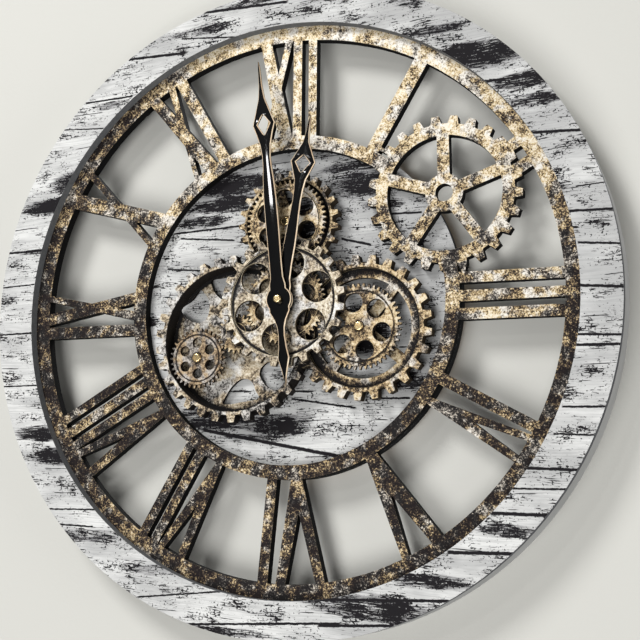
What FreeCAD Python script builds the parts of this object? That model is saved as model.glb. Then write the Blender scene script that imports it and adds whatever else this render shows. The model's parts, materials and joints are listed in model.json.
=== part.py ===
import FreeCAD
import Part
import math
import os
import re
from types import SimpleNamespace

# A round wall clock with a cut-through roman dial and a train of turning gears.
# The clock faces -Y and hangs on a wall in the plane Y = 0. Z is up and X is to the right.
# Shapes are drawn in face coordinates: x to the right, y up, and the level, which is the
# height above the wall. One turn about X brings them into the clock's own frame.

V = FreeCAD.Vector
UPRIGHT = FreeCAD.Rotation(V(1, 0, 0), 90)

# Driving sizes in millimetres, degrees and counts
s = SimpleNamespace(
    # rim, dial and disc, all cut from one thickness of board
    rim_radius=270.0,
    rim_depth=36.0,
    board=9.0,
    rim_face_width=32.0,
    hoop_width=14.0,
    dial_lap=14.0,
    dial_ring_width=26.4,
    inner_ring_width=11.4,
    ring_gap=5.5,
    pocket_floor=2.2,
    panel_bite=6.0,
    # cog that stands at two o'clock in the dial
    cog_angle=31.95,
    cog_teeth=25,
    cog_inset=39.5,
    cog_gap=6.9,
    cog_tooth_height=6.4,
    cog_rim_width=9.7,
    cog_hub_radius=15.5,
    cog_bore_radius=7.2,
    cog_spoke_width=10.0,
    cog_spokes=5,
    cog_phase=9.5,
    cog_spoke_phase=18.3,
    # gear train
    fine_module=1.4,
    fine_teeth=48,
    idler_teeth=22,
    small_teeth=34,
    fine_addendum=1.2,
    fine_dedendum=1.7,
    fine_face_margin=2.9,
    fine_holes=6,
    fine_hole_inner_margin=2.8,
    fine_hole_outer_margin=1.6,
    fine_width=4.0,
    fine_step=0.6,
    fine_level=33.5,
    right_angle=-20.27,
    top_angle=89.16,
    small_angle=208.42,
    ring_level=23.0,
    ring_width=10.0,
    running_gap=0.05,
    end_gap=0.3,
    tooth_gap=0.7,
    # centre gear in front
    centre_teeth=24,
    centre_cap_gap=10.1,
    centre_tooth_height=5.8,
    centre_rim_width=2.5,
    centre_hole_inner_margin=11.1,
    centre_hole_outer_margin=1.1,
    centre_level=38.8,
    centre_width=5.2,
    centre_recess=1.8,
    centre_holes=6,
    centre_phase=6.5,
    centre_hole_phase=19.5,
    sleeve_radius=7.0,
    # right ring gear
    right_teeth=25,
    right_sleeve_gap=1.5,
    right_tooth_height=6.7,
    right_rim_width=3.3,
    right_ledge_reach=7.9,
    right_ledge_width=5.0,
    right_spokes=4,
    right_spoke_width=9.0,
    right_spoke_phase=50.0,
    right_phase=7.6,
    right_hole_phase=43.5,
    # top ring gear
    top_teeth=23,
    top_gap=7.2,
    top_tooth_height=5.2,
    top_rim_width=2.0,
    top_ledge_reach=6.6,
    top_ledge_width=4.0,
    top_spokes=4,
    top_spoke_width=8.0,
    top_spoke_phase=20.0,
    top_phase=7.7,
    top_hole_phase=35.0,
    # left gear plate, which stands still
    plate_distance=53.2,
    plate_angle=211.0,
    plate_teeth=30,
    plate_ring_gap=15.2,
    plate_tooth_height=6.0,
    plate_wall=3.0,
    plate_back_level=20.5,
    plate_web_level=24.0,
    plate_front_level=39.7,
    plate_tooth_width=10.0,
    plate_phase=5.5,
    plate_foot_radius=6.0,
    plate_neck_radius=12.0,
    # small gear on the plate
    small_face_margin=0.1,
    small_hole_inner_margin=3.5,
    small_hole_outer_margin=4.9,
    small_hole_phase=31.0,
    # hubs, posts and caps
    hub_radius=9.0,
    axle_radius=2.45,
    small_post_radius=2.0,
    small_hub_radius=5.0,
    flange_radius=6.5,
    flange_width=2.0,
    cap_radius=3.8,
    cap_width=2.4,
    # hands
    minute_length=202.6,
    minute_tail=71.3,
    minute_angle=5.2,
    hour_length=154.7,
    hour_angle=-9.8,
    hand_thickness=2.0,
    hour_level=46.4,
    minute_level=50.4,
    nut_radius=3.3,
    nut_width=3.6,
    # quartz movement
    case_above=22.0,
    case_below=34.0,
    contact_room=1.6,
    case_wall=1.2,
    case_back_level=0.6,
    cover_level=3.6,
    neck_radius=4.0,
    neck_bore_radius=2.6,
    neck_top_level=44.9,
    tube_radius=2.55,
    tube_bore_radius=1.6,
    arbor_radius=1.55,
    pivot_radius=0.8,
    pivot_depth=0.6,
    neck_nut_radius=8.0,
    neck_nut_width=2.2,
    ring_nut_radius=6.5,
    ring_nut_width=1.8,
    cannon_teeth=12,
    motion_teeth=36,
    cannon_module=0.5,
    motion_pinion_teeth=10,
    hour_teeth=40,
    motion_angle=135.0,
    wheel_width=1.5,
    motion_level=7.5,
    knob_radius=6.0,
    knob_width=2.2,
    coil_radius=3.2,
    coil_length=22.0,
    circuit_width=13.0,
    circuit_height=12.0,
    circuit_thickness=1.0,
    # dry cells, the common penlight size
    cell_radius=7.0,
    cell_length=49.2,
    cell_button_radius=2.6,
    cell_button_length=1.2,
    cell_gap=0.6,
    contact_thickness=0.4,
    contact_width=9.0,
    # gear drive unit
    drive_above=20.0,
    drive_below=40.0,
    drive_shift=5.0,
    drive_module=0.8,
    drive_pinion_teeth=10,
    drive_wheel_teeth=40,
    drive_angle=30.0,
    drive_level=11.3,
    motor_radius=8.5,
    motor_length=6.0,
    motor_shaft_radius=1.0,
    bush_radius=4.5,
    switch_y=9.0,
    switch_width=9.0,
    switch_height=5.0,
    switch_travel=2.0,
    slider_width=3.0,
    # screws and hanger
    dial_screws=8,
    dial_screw_phase=15.0,
    disc_screws=6,
    disc_screw_phase=7.0,
    screw_radius=1.6,
    screw_bite=6.0,
    screw_head_radius=3.4,
    screw_head_width=1.4,
    hanger_width=44.0,
    hanger_height=12.0,
    hanger_thickness=1.6,
    hanger_head_radius=4.2,
    hanger_slot_radius=2.2,
    hanger_slot_rise=4.0,
    hanger_pocket=6.0,
    hanger_screw_spread=17.0,
    overrun=1.0,
)

# Widths of a tooth at its tip and at its root, as shares of the pitch
cog_tooth_shares = (0.36, 0.62)
centre_tooth_shares = (0.34, 0.58)
right_tooth_shares = (0.34, 0.60)
top_tooth_shares = (0.26, 0.56)
plate_tooth_shares = (0.34, 0.60)
fine_tooth_shares = (0.22, 0.60)
knob_tooth_shares = (0.40, 0.60)
# Heights of a small wheel's teeth above and below its pitch circle, as shares of its module
addendum_share, dedendum_share = 0.75, 1.1
knurl_share = 0.05



def around(radius, angle):
    """The point at a radius and an angle in degrees, anticlockwise from three o'clock."""
    turn = math.radians(angle)
    return radius * math.cos(turn), radius * math.sin(turn)


# Sizes worked out from the ones above
s.rim_inner_radius = s.rim_radius - s.rim_face_width
s.dial_radius = s.rim_inner_radius + s.dial_lap
s.dial_ring_inner_radius = s.dial_radius - s.dial_ring_width
s.fine_pitch_radius = s.fine_module * s.fine_teeth / 2
s.train_distance = 2 * s.fine_pitch_radius
s.right_x, s.right_y = around(s.train_distance, s.right_angle)
s.top_x, s.top_y = around(s.train_distance, s.top_angle)
s.right_tip_radius = s.train_distance - s.sleeve_radius - s.right_sleeve_gap
s.right_root_radius = s.right_tip_radius - s.right_tooth_height
s.right_rim_inner_radius = s.right_root_radius - s.right_rim_width
s.right_ledge_radius = s.right_rim_inner_radius - s.right_ledge_reach
s.top_tip_radius = (math.hypot(s.right_x - s.top_x, s.right_y - s.top_y) - s.right_tip_radius
                    - s.top_gap)
s.top_root_radius = s.top_tip_radius - s.top_tooth_height
s.top_rim_inner_radius = s.top_root_radius - s.top_rim_width
s.top_ledge_radius = s.top_rim_inner_radius - s.top_ledge_reach
s.centre_tip_radius = s.train_distance - s.cap_radius - s.centre_cap_gap
s.centre_root_radius = s.centre_tip_radius - s.centre_tooth_height
s.centre_rim_inner_radius = s.centre_root_radius - s.centre_rim_width
s.centre_hole_radius = (s.centre_rim_inner_radius - s.sleeve_radius - s.centre_hole_inner_margin
                        - s.centre_hole_outer_margin) / 2
s.centre_hole_circle = (s.centre_rim_inner_radius - s.centre_hole_outer_margin
                        - s.centre_hole_radius)
s.fine_face_radius = s.fine_pitch_radius - s.fine_dedendum - s.fine_face_margin
s.fine_hole_radius = (s.fine_face_radius - s.hub_radius - s.fine_hole_inner_margin
                      - s.fine_hole_outer_margin) / 2
s.fine_hole_circle = s.fine_face_radius - s.fine_hole_outer_margin - s.fine_hole_radius
s.small_pitch_radius = s.fine_module * s.small_teeth / 2
s.small_face_radius = s.small_pitch_radius - s.fine_dedendum - s.small_face_margin
s.small_hole_radius = (s.small_face_radius - s.small_hub_radius - s.small_hole_inner_margin
                       - s.small_hole_outer_margin) / 2
s.small_hole_circle = s.small_face_radius - s.small_hole_outer_margin - s.small_hole_radius
s.inner_ring_inner_radius = s.train_distance + s.right_tip_radius + s.ring_gap
s.inner_ring_radius = s.inner_ring_inner_radius + s.inner_ring_width
s.plate_x, s.plate_y = around(s.plate_distance, s.plate_angle)
s.plate_root_radius = s.inner_ring_inner_radius - s.plate_distance - s.plate_ring_gap
s.plate_tip_radius = s.plate_root_radius + s.plate_tooth_height
s.plate_inner_radius = s.plate_root_radius - s.plate_wall
cog_reach = s.dial_ring_inner_radius - s.cog_gap
cog_start = s.inner_ring_inner_radius - s.cog_inset
s.cog_centre_radius = (cog_reach + cog_start) / 2
s.cog_tip_radius = (cog_reach - cog_start) / 2
s.cog_root_radius = s.cog_tip_radius - s.cog_tooth_height
s.cog_window_radius = s.cog_root_radius - s.cog_rim_width
s.dial_front = s.rim_depth - s.board
s.disc_front = s.dial_front - s.board
s.disc_back = s.disc_front - s.board
s.pocket_level = s.disc_front - s.pocket_floor
s.numeral_height = s.dial_ring_inner_radius - s.inner_ring_radius
s.disc_screw_circle = (s.inner_ring_radius + s.inner_ring_inner_radius) / 2
s.dial_screw_circle = (s.dial_radius + s.rim_inner_radius) / 2
s.idler_pitch_radius = s.fine_module * s.idler_teeth / 2
s.idler_distance = s.fine_pitch_radius + s.idler_pitch_radius
s.small_distance = s.idler_distance + s.idler_pitch_radius + s.small_pitch_radius
s.fine_front = s.fine_level + s.fine_width
s.ring_front = s.ring_level + s.ring_width
s.centre_front = s.centre_level + s.centre_width
s.foot_bite = s.plate_web_level - s.disc_front - s.overrun
s.hub_back = s.disc_front + s.flange_width + s.end_gap
s.motion_distance = s.cannon_module * (s.cannon_teeth + s.motion_teeth) / 2
s.hour_module = 2 * s.motion_distance / (s.motion_pinion_teeth + s.hour_teeth)
s.hour_wheel_level = s.motion_level + s.wheel_width + 2 * s.wheel_width
s.drive_distance = s.drive_module * (s.drive_pinion_teeth + s.drive_wheel_teeth) / 2
s.case_width = s.cell_length + s.cell_button_length + 2 * (s.case_wall + s.contact_room)
s.cell_trough = 2 * (s.cell_radius + s.cell_gap)
s.switch_x = s.drive_shift - s.case_width / 2 + 3 * s.case_wall + s.switch_width / 2
s.chamber_level = s.pocket_level - s.case_wall
s.cover_front = s.cover_level + s.case_wall
s.idler_x, s.idler_y = around(s.idler_distance, s.small_angle)
s.small_x, s.small_y = around(s.small_distance, s.small_angle)
s.cog_x, s.cog_y = around(s.cog_centre_radius, s.cog_angle)
s.motion_x, s.motion_y = around(s.motion_distance, s.motion_angle)
motor_shift = around(s.drive_distance, s.drive_angle)
s.case_x = s.right_x + s.drive_shift
s.motor_x = s.right_x + motor_shift[0]
s.motor_y = s.right_y + motor_shift[1]

# Shares of a numeral's height, measured from its centre line. A bar has its left and right
# edge at its foot and at its head. A vee has its two feet, the right and the left arm's
# edges at the head, and the point where the arms meet, with its height.
bar_shares = {
    1: [(-0.052, 0.079, -0.046, 0.097)],
    3: [(-0.202, -0.097, -0.187, -0.081), (-0.027, 0.081, -0.006, 0.094),
        (0.147, 0.256, 0.163, 0.272)],
    4: [(-0.127, -0.012, -0.141, -0.030)],
    6: [(0.130, 0.232, 0.232, 0.336)],
    7: [(0.051, 0.147, 0.054, 0.145), (0.196, 0.286, 0.199, 0.296)],
    8: [(-0.022, 0.076, -0.014, 0.076), (0.123, 0.223, 0.127, 0.226),
        (0.274, 0.365, 0.278, 0.368)],
    9: [(-0.217, -0.100, -0.205, -0.085), (0.115, 0.232, -0.060, 0.060),
        (-0.056, 0.036, 0.199, 0.263)],
    10: [(0.054, 0.209, -0.197, -0.033), (-0.167, -0.097, 0.164, 0.236)],
    11: [(-0.076, 0.072, -0.245, -0.124), (-0.217, -0.164, 0.006, 0.082),
         (0.100, 0.220, 0.106, 0.229)],
    12: [(-0.123, 0.024, -0.312, -0.193), (-0.273, -0.220, -0.043, 0.034),
         (0.033, 0.127, 0.048, 0.139), (0.202, 0.286, 0.211, 0.300)],
}
vee_shares = {
    4: (0.135, 0.205, 0.221, 0.290, 0.060, -0.007, 0.149, 0.473),
    5: (-0.022, 0.097, 0.197, 0.269, -0.058, -0.179, 0.058, 0.407),
    6: (-0.130, -0.016, 0.046, 0.145, -0.268, -0.366, -0.094, 0.313),
    7: (-0.171, -0.097, -0.027, 0.042, -0.197, -0.278, -0.127, 0.461),
    8: (-0.245, -0.163, -0.099, -0.024, -0.263, -0.354, -0.190, 0.461),
}
# Short links between the cog and its neighbours: hour, left, right, foot and head
link_shares = [(2, -0.130, -0.020, 0.80, 1.0), (2, 0.094, 0.211, 0.78, 1.0),
               (1, 0.05, 0.16, 0.030, 0.066), (3, -0.27, -0.16, 0.020, 0.062)]
reach_share = 0.05

# Windows in the left plate, as shares of its inner radius
plate_window_shares = [
    [(-0.862, 0.408), (-0.475, 0.400), (-0.458, 0.493), (-0.467, 0.577), (-0.517, 0.678),
     (-0.602, 0.758), (-0.740, 0.620)],
    [(-0.440, 0.862), (-0.395, 0.725), (-0.300, 0.618), (-0.268, 0.598), (-0.247, 0.713),
     (-0.205, 0.798), (-0.173, 0.905), (-0.300, 0.905)],
    [(-0.237, -0.825), (-0.120, -0.647), (-0.037, -0.572), (0.058, -0.530), (0.153, -0.552),
     (0.217, -0.627), (0.248, -0.710), (0.292, -0.783), (0.090, -0.847)],
    [(0.448, -0.678), (0.333, -0.562), (0.302, -0.457), (0.367, -0.350), (0.533, -0.317),
     (0.700, -0.400), (0.817, -0.433), (0.700, -0.617), (0.583, -0.717)],
]
plate_foot_shares = [(-0.55, -0.45), (0.02, 0.80), (-0.10, -0.20)]

# Half widths of the hands, as shares of their length: height, half width
minute_shares = [(0.059, 0.0346), (0.089, 0.0276), (0.148, 0.0267), (0.296, 0.0286),
                 (0.415, 0.0281), (0.494, 0.0242), (0.553, 0.0192), (0.592, 0.0183),
                 (0.642, 0.0232), (0.691, 0.0355), (0.731, 0.0484), (0.790, 0.0296),
                 (0.839, 0.0148), (0.893, 0.0079), (0.967, 0.0054), (1.0, 0.0)]
tail_shares = [(0.140, 0.1206), (0.238, 0.0701), (0.323, 0.0463), (0.421, 0.0407),
               (0.561, 0.0519), (0.673, 0.0701), (0.785, 0.0421), (0.926, 0.0126), (1.0, 0.0)]
hour_shares = [(0.078, 0.0452), (0.116, 0.0349), (0.194, 0.0317), (0.291, 0.0336),
               (0.388, 0.0310), (0.452, 0.0271), (0.530, 0.0246), (0.588, 0.0265),
               (0.646, 0.0330), (0.692, 0.0504), (0.743, 0.0698), (0.789, 0.0472),
               (0.847, 0.0194), (0.892, 0.0123), (0.963, 0.0071), (1.0, 0.0)]
# The diamond's opening: foot, middle and head height, and half width
minute_diamond_shares = (0.681, 0.731, 0.773, 0.0272)
hour_diamond_shares = (0.681, 0.740, 0.781, 0.0400)
hub_share = 0.0533
hour_hub_share = 0.0698

doc = FreeCAD.newDocument("GearClock")
sheet = doc.addObject("Spreadsheet::Sheet", "Sizes")
for row, (name, value) in enumerate(vars(s).items(), start=1):
    sheet.set(f"A{row}", name)
    sheet.set(f"B{row}", repr(float(value)))
    sheet.setAlias(f"B{row}", name)
doc.recompute()

nodes = []


def formula(text):
    """An expression in which each size's name stands for its cell."""
    return re.sub(r"[a-z_]+", lambda word: "Sizes." + word[0] if hasattr(s, word[0]) else word[0],
                  text)


def bind(piece, **formulas):
    """Ties properties to sizes; a double underscore stands for a dot."""
    for name, text in formulas.items():
        piece.setExpression(name.replace("__", "."), formula(text))
    return piece


def at(piece, x="", y="", level=""):
    """Puts a piece at a place in face coordinates."""
    for axis, text in (("x", x), ("y", y), ("z", level)):
        if text:
            piece.setExpression("Placement.Base." + axis, formula(text))
    return piece


def rod(radius, height, level="", x="", y=""):
    piece = doc.addObject("Part::Cylinder", "Rod")
    return at(bind(piece, Radius=radius, Height=height), x, y, level)


def block(width, height, depth, x, y, level):
    """A box with its middle at x, its lower edge at y and its back at a level."""
    piece = doc.addObject("Part::Box", "Block")
    bind(piece, Length=width, Width=height, Height=depth)
    return at(piece, f"({x}) - ({width}) / 2", y, level)


def joined(*pieces):
    piece = doc.addObject("Part::MultiFuse", "Joined")
    piece.Shapes = list(pieces)
    piece.Refine = True
    return piece


def without(base, *tools):
    piece = doc.addObject("Part::Cut", "Without")
    piece.Base = base
    piece.Tool = tools[0] if len(tools) == 1 else joined(*tools)
    piece.Refine = True
    return piece


def drawn(shape, x=0.0, y=0.0, level=0.0):
    """A piece with a shape made in code, at a place in face coordinates."""
    piece = doc.addObject("Part::Feature", "Drawn")
    piece.Shape = shape
    piece.Placement = FreeCAD.Placement(V(x, y, level), FreeCAD.Rotation())
    return piece


def node(label, piece):
    """Names a finished piece and turns it from face coordinates into the clock's frame."""
    if piece.TypeId == "Part::Feature":
        x, y, level = piece.Placement.Base
        piece.Placement = FreeCAD.Placement(V(x, -level, y), UPRIGHT)
    elif piece.TypeId in ("Part::Cylinder", "Part::Box"):
        places = dict(piece.ExpressionEngine)
        old = {axis: places.get(f".Placement.Base.{axis}", "") for axis in "xyz"}
        for axis in "xyz":
            piece.setExpression("Placement.Base." + axis, None)
        piece.Placement = FreeCAD.Placement(V(), UPRIGHT)
        moved = {"x": old["x"], "y": old["z"] and f"-({old['z']})", "z": old["y"]}
        for axis, text in moved.items():
            if text:
                piece.setExpression("Placement.Base." + axis, text)
    else:
        piece.Placement = FreeCAD.Placement(V(), UPRIGHT)
    piece.Label = label
    nodes.append(piece)
    return piece


def polygon(points):
    corners = [V(x, y, 0) for x, y in points]
    return Part.Face(Part.makePolygon(corners + corners[:1]))


def slab(face, thickness, level=0.0):
    solid = face.extrude(V(0, 0, thickness))
    solid.translate(V(0, 0, level))
    return solid


def turned(points, angle):
    """Points turned clockwise by an angle in degrees, as an hour's place on the dial is."""
    turn = math.radians(angle)
    return [(x * math.cos(turn) + y * math.sin(turn), y * math.cos(turn) - x * math.sin(turn))
            for x, y in points]


def toothed(teeth, tip_radius, root_radius, phase, shares):
    """The face of a gear with straight-sided teeth; one tooth stands at the phase."""
    step = 360.0 / teeth
    tip_share, root_share = shares
    points = []
    for tooth in range(teeth):
        middle = phase + tooth * step
        points.append(around(root_radius, middle - step * root_share / 2))
        points.append(around(tip_radius, middle - step * tip_share / 2))
        points.append(around(tip_radius, middle + step * tip_share / 2))
        points.append(around(root_radius, middle + step * root_share / 2))
    return polygon(points)


def tube(outer, inner, height, level=0.0):
    solid = Part.makeCylinder(outer, height, V(0, 0, level))
    return solid.cut(Part.makeCylinder(inner, height + 2 * s.overrun, V(0, 0, level - s.overrun)))


def holes(count, radius, circle, phase, height):
    """A ring of round holes through a wheel."""
    tools = []
    for index in range(count):
        x, y = around(circle, phase + index * 360.0 / count)
        tools.append(Part.makeCylinder(radius, height + 2 * s.overrun, V(x, y, -s.overrun)))
    return tools


def spokes(count, width, inner, outer, phase, thickness):
    """Flat spokes from a hub out to a rim."""
    bars = []
    for index in range(count):
        bar = Part.makeBox(outer - inner, width, thickness, V(inner, -width / 2, 0))
        bar.rotate(V(), V(0, 0, 1), phase + index * 360.0 / count)
        bars.append(bar)
    return bars


# Rim: a flat printed ring on a deeper hoop

face_ring = without(rod("rim_radius", "board", "dial_front"),
                    rod("rim_inner_radius", "board + 2 * overrun", "dial_front - overrun"))


def screw_places(count, circle, phase):
    return [around(circle, phase + index * 360.0 / count) for index in range(count)]


def screws(places, head_level, length):
    """Screws put in from behind, with their heads on a face at the head level."""
    solids = []
    for x, y in places:
        shank = Part.makeCylinder(s.screw_radius, length, V(x, y, head_level))
        head = Part.makeCylinder(s.screw_head_radius, s.screw_head_width,
                                 V(x, y, head_level - s.screw_head_width))
        solids.append(shank.fuse(head).removeSplitter())
    return solids


def pilots(places, level, length):
    return drawn(Part.makeCompound([Part.makeCylinder(s.screw_radius, length, V(x, y, level))
                                    for x, y in places]))


dial_places = screw_places(s.dial_screws, s.dial_screw_circle, s.dial_screw_phase)
node("rim_board", without(face_ring, pilots(dial_places, s.dial_front, s.screw_bite)))
node("dial_screws", drawn(Part.makeCompound(
    screws(dial_places, s.disc_front, s.board + s.screw_bite))))

hoop_middle = s.rim_radius - s.hoop_width / 2
s.hanger_y = hoop_middle
hoop_ring = without(rod("rim_radius", "dial_front"),
                    rod("rim_radius - hoop_width", "dial_front + 2 * overrun", "-overrun"))
hanger_seat = Part.makeBox(s.hanger_width, s.hanger_height, s.hanger_thickness,
                           V(-s.hanger_width / 2, s.hanger_y - s.hanger_height / 2, 0))
head_room_width = 3 * s.hanger_head_radius
head_room = Part.makeBox(head_room_width, s.hanger_height, s.hanger_pocket,
                         V(-head_room_width / 2, s.hanger_y - s.hanger_height / 2, 0))
hanger_places = [(-s.hanger_screw_spread, s.hanger_y), (s.hanger_screw_spread, s.hanger_y)]
hanger_bites = [Part.makeCylinder(s.screw_radius, s.screw_bite, V(x, y, s.hanger_thickness))
                for x, y in hanger_places]
node("rim_hoop", without(hoop_ring, drawn(Part.makeCompound([hanger_seat.fuse(head_room)])),
                         drawn(Part.makeCompound(hanger_bites))))

# Hanger: a keyhole plate let into the back of the hoop at the top

plate = Part.makeBox(s.hanger_width, s.hanger_height, s.hanger_thickness,
                     V(-s.hanger_width / 2, -s.hanger_height / 2, 0))
through = s.hanger_thickness + 2 * s.overrun
key_y = -(s.hanger_height / 2 - s.hanger_head_radius) / 2
keyhole = Part.makeCylinder(s.hanger_head_radius, through, V(0, key_y, -s.overrun))
slot = Part.makeBox(2 * s.hanger_slot_radius, s.hanger_slot_rise + s.hanger_slot_radius / 2, through,
                    V(-s.hanger_slot_radius, key_y, -s.overrun))
slot_end = Part.makeCylinder(s.hanger_slot_radius, through,
                             V(0, key_y + s.hanger_slot_rise, -s.overrun))
screw_holes = [Part.makeCylinder(s.screw_radius, through, V(x, 0, -s.overrun))
               for x, y in hanger_places]
node("hanger_plate", drawn(plate.cut([keyhole, slot, slot_end] + screw_holes).removeSplitter(),
                           0, s.hanger_y, 0))
hanger_shanks = []
for x, y in hanger_places:
    hanger_shanks.append(Part.makeCylinder(s.screw_radius, s.hanger_thickness + s.screw_bite,
                                           V(x, y, 0)))
node("hanger_screws", drawn(Part.makeCompound(hanger_shanks)))

# Dial: two rings, the numerals between them and the cog, cut from one board


def edge(foot, head, height):
    return foot + (head - foot) * height


def numeral_point(x, height):
    return x * s.numeral_height, s.inner_ring_radius + height * s.numeral_height


def bar(shares):
    left, right, head_left, head_right = shares
    low, high = -2 * reach_share, 1 + reach_share
    return [numeral_point(edge(left, head_left, low), low),
            numeral_point(edge(right, head_right, low), low),
            numeral_point(edge(right, head_right, high), high),
            numeral_point(edge(left, head_left, high), high)]


def vee(shares):
    left, right, arm_in, arm_out, other_in, other_out, notch, notch_height = shares
    low, high = -2 * reach_share, 1 + reach_share
    beyond = (high - notch_height) / (1 - notch_height)
    return [numeral_point(edge(left, other_out, low), low),
            numeral_point(edge(right, arm_out, low), low),
            numeral_point(edge(right, arm_out, high), high),
            numeral_point(edge(notch, arm_in, beyond), high),
            numeral_point(notch, notch_height),
            numeral_point(edge(notch, other_in, beyond), high),
            numeral_point(edge(left, other_out, high), high)]


def dial_panel():
    thick = s.board
    outer_ring = tube(s.dial_radius, s.dial_ring_inner_radius, thick)
    inner_ring = tube(s.inner_ring_radius, s.inner_ring_inner_radius, thick)
    cog_place = V(s.cog_x, s.cog_y, 0)
    clearing = Part.makeCylinder(s.cog_window_radius, 3 * thick, cog_place - V(0, 0, thick))
    inner_ring = inner_ring.cut(clearing)
    strokes = []
    for hour, bars in bar_shares.items():
        strokes += [slab(polygon(turned(bar(shares), 30 * hour)), thick) for shares in bars]
    for hour, shares in vee_shares.items():
        strokes.append(slab(polygon(turned(vee(shares), 30 * hour)), thick))
    for hour, left, right, foot, head in link_shares:
        corners = [numeral_point(left, foot), numeral_point(right, foot),
                   numeral_point(right, head + reach_share * (head == 1.0)),
                   numeral_point(left, head + reach_share * (head == 1.0))]
        strokes.append(slab(polygon(turned(corners, 30 * hour)), thick))
    cog = slab(toothed(s.cog_teeth, s.cog_tip_radius, s.cog_root_radius, s.cog_phase, cog_tooth_shares),
               thick)
    cog = cog.cut(Part.makeCylinder(s.cog_window_radius, 3 * thick, V(0, 0, -thick)))
    hub = Part.makeCylinder(s.cog_hub_radius, thick)
    middle = (s.cog_window_radius + s.cog_root_radius) / 2
    arms = spokes(s.cog_spokes, s.cog_spoke_width, s.cog_bore_radius, middle, s.cog_spoke_phase,
                  thick)
    cog = cog.fuse([hub] + arms)
    cog = cog.cut(Part.makeCylinder(s.cog_bore_radius, 3 * thick, V(0, 0, -thick)))
    cog.translate(cog_place)
    panel = outer_ring.fuse([inner_ring, cog] + strokes)
    x_screws = [Part.makeCylinder(s.screw_radius, thick, V(x, y, 0)) for x, y in dial_places]
    bites = [Part.makeCylinder(s.screw_radius, s.panel_bite, V(x, y, 0))
             for x, y in disc_places]
    return panel.cut(x_screws + bites).removeSplitter()


disc_places = screw_places(s.disc_screws, s.disc_screw_circle, s.disc_screw_phase)
node("dial_panel", drawn(dial_panel(), level=s.disc_front))
node("disc_screws", drawn(Part.makeCompound(
    screws(disc_places, s.disc_back, s.board + s.panel_bite))))

# Centre disc, with a pocket behind for each drive case

foot_places = [(s.plate_x + x * s.plate_inner_radius, s.plate_y + y * s.plate_inner_radius)
               for x, y in plate_foot_shares]
pocket_depth = "pocket_level - disc_back + overrun"
movement_pocket = block("case_width + 2 * end_gap", "case_above + case_below + 2 * end_gap",
                        pocket_depth, "0", "-case_below - end_gap", "disc_back - overrun")
drive_pocket = block("case_width + 2 * end_gap", "drive_above + drive_below + 2 * end_gap",
                     pocket_depth, "case_x", "right_y - drive_below - end_gap",
                     "disc_back - overrun")
disc_height = "board + 2 * overrun"
neck_hole = rod("neck_radius + running_gap", disc_height, "disc_back - overrun")
bush_hole = rod("bush_radius", disc_height, "disc_back - overrun", "right_x", "right_y")
post_hole = rod("axle_radius", disc_height, "disc_back - overrun", "top_x", "top_y")
disc_bites = pilots(disc_places + foot_places, s.disc_back, s.board)
node("centre_disc", without(rod("inner_ring_radius", "board", "disc_back"), movement_pocket,
                            drive_pocket, neck_hole, bush_hole, post_hole, disc_bites))

# Quartz movement


def case_box(width, above, below, x, y, level, depth):
    """A box whose edges stand above and below an arbor."""
    return block(width, f"{above} + {below}", depth, x, f"{y} - ({below})", level)


def drive_shell(above, below, x, y):
    """The open tools that hollow a case: the gear chamber and the trough for a cell."""
    depth = "chamber_level - case_back_level + overrun"
    chamber = block("case_width - 2 * case_wall", f"{above} + {below} - 3 * case_wall - cell_trough",
                    depth, x, f"{y} - {below} + 2 * case_wall + cell_trough",
                    "case_back_level - overrun")
    trough = block("case_width - 2 * case_wall", "cell_trough", depth, x,
                   f"{y} - {below} + case_wall", "case_back_level - overrun")
    return chamber, trough


case_depth = "pocket_level - case_back_level"
movement_shell = case_box("case_width", "case_above", "case_below", "0", "0", "case_back_level",
                          case_depth)
neck = rod("neck_radius", "neck_top_level - chamber_level", "chamber_level")
neck_bore = rod("neck_bore_radius", "neck_top_level", "overrun")
pivot_hole = rod("pivot_radius + running_gap", "pivot_depth + overrun", "chamber_level - overrun",
                 "motion_x", "motion_y")
node("movement_case", without(joined(movement_shell, neck),
                              *drive_shell("case_above", "case_below", "0", "0"), neck_bore,
                              pivot_hole))
cover_height = "- 3 * case_wall - cell_trough - 2 * running_gap"
cover = block("case_width - 2 * case_wall - 2 * running_gap",
              f"case_above + case_below {cover_height}", "case_wall", "0",
              "-case_below + 2 * case_wall + cell_trough + running_gap", "cover_level")
knob_shaft_hole = rod("arbor_radius + running_gap", "case_back_level + cover_front", "overrun",
                      "motion_x", "motion_y")
node("movement_cover", without(cover, knob_shaft_hole))
node("neck_nut", without(
    drawn(slab(polygon([around(s.neck_nut_radius, 60 * side) for side in range(6)]),
               s.neck_nut_width), level=s.disc_front),
    rod("neck_radius", "neck_nut_width + 2 * overrun", "disc_front - overrun")))
sleeve_top = "centre_front - centre_recess"
node("ring_nut", without(
    rod("ring_nut_radius", "ring_nut_width", f"{sleeve_top} + end_gap"),
    rod("neck_radius", "ring_nut_width + 2 * overrun", f"{sleeve_top} + end_gap - overrun")))


def cell(x, y):
    """A dry cell lying along X in its trough, with its button to the right."""
    level = s.pocket_level - s.case_wall - s.cell_radius
    body = Part.makeCylinder(s.cell_radius, s.cell_length, V(-s.cell_length / 2, 0, 0), V(1, 0, 0))
    button = Part.makeCylinder(s.cell_button_radius, s.cell_button_length,
                               V(s.cell_length / 2, 0, 0), V(1, 0, 0))
    return drawn(body.fuse(button), x - s.cell_button_length / 2,
                 y + s.case_wall + s.cell_trough / 2, level)


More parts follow.
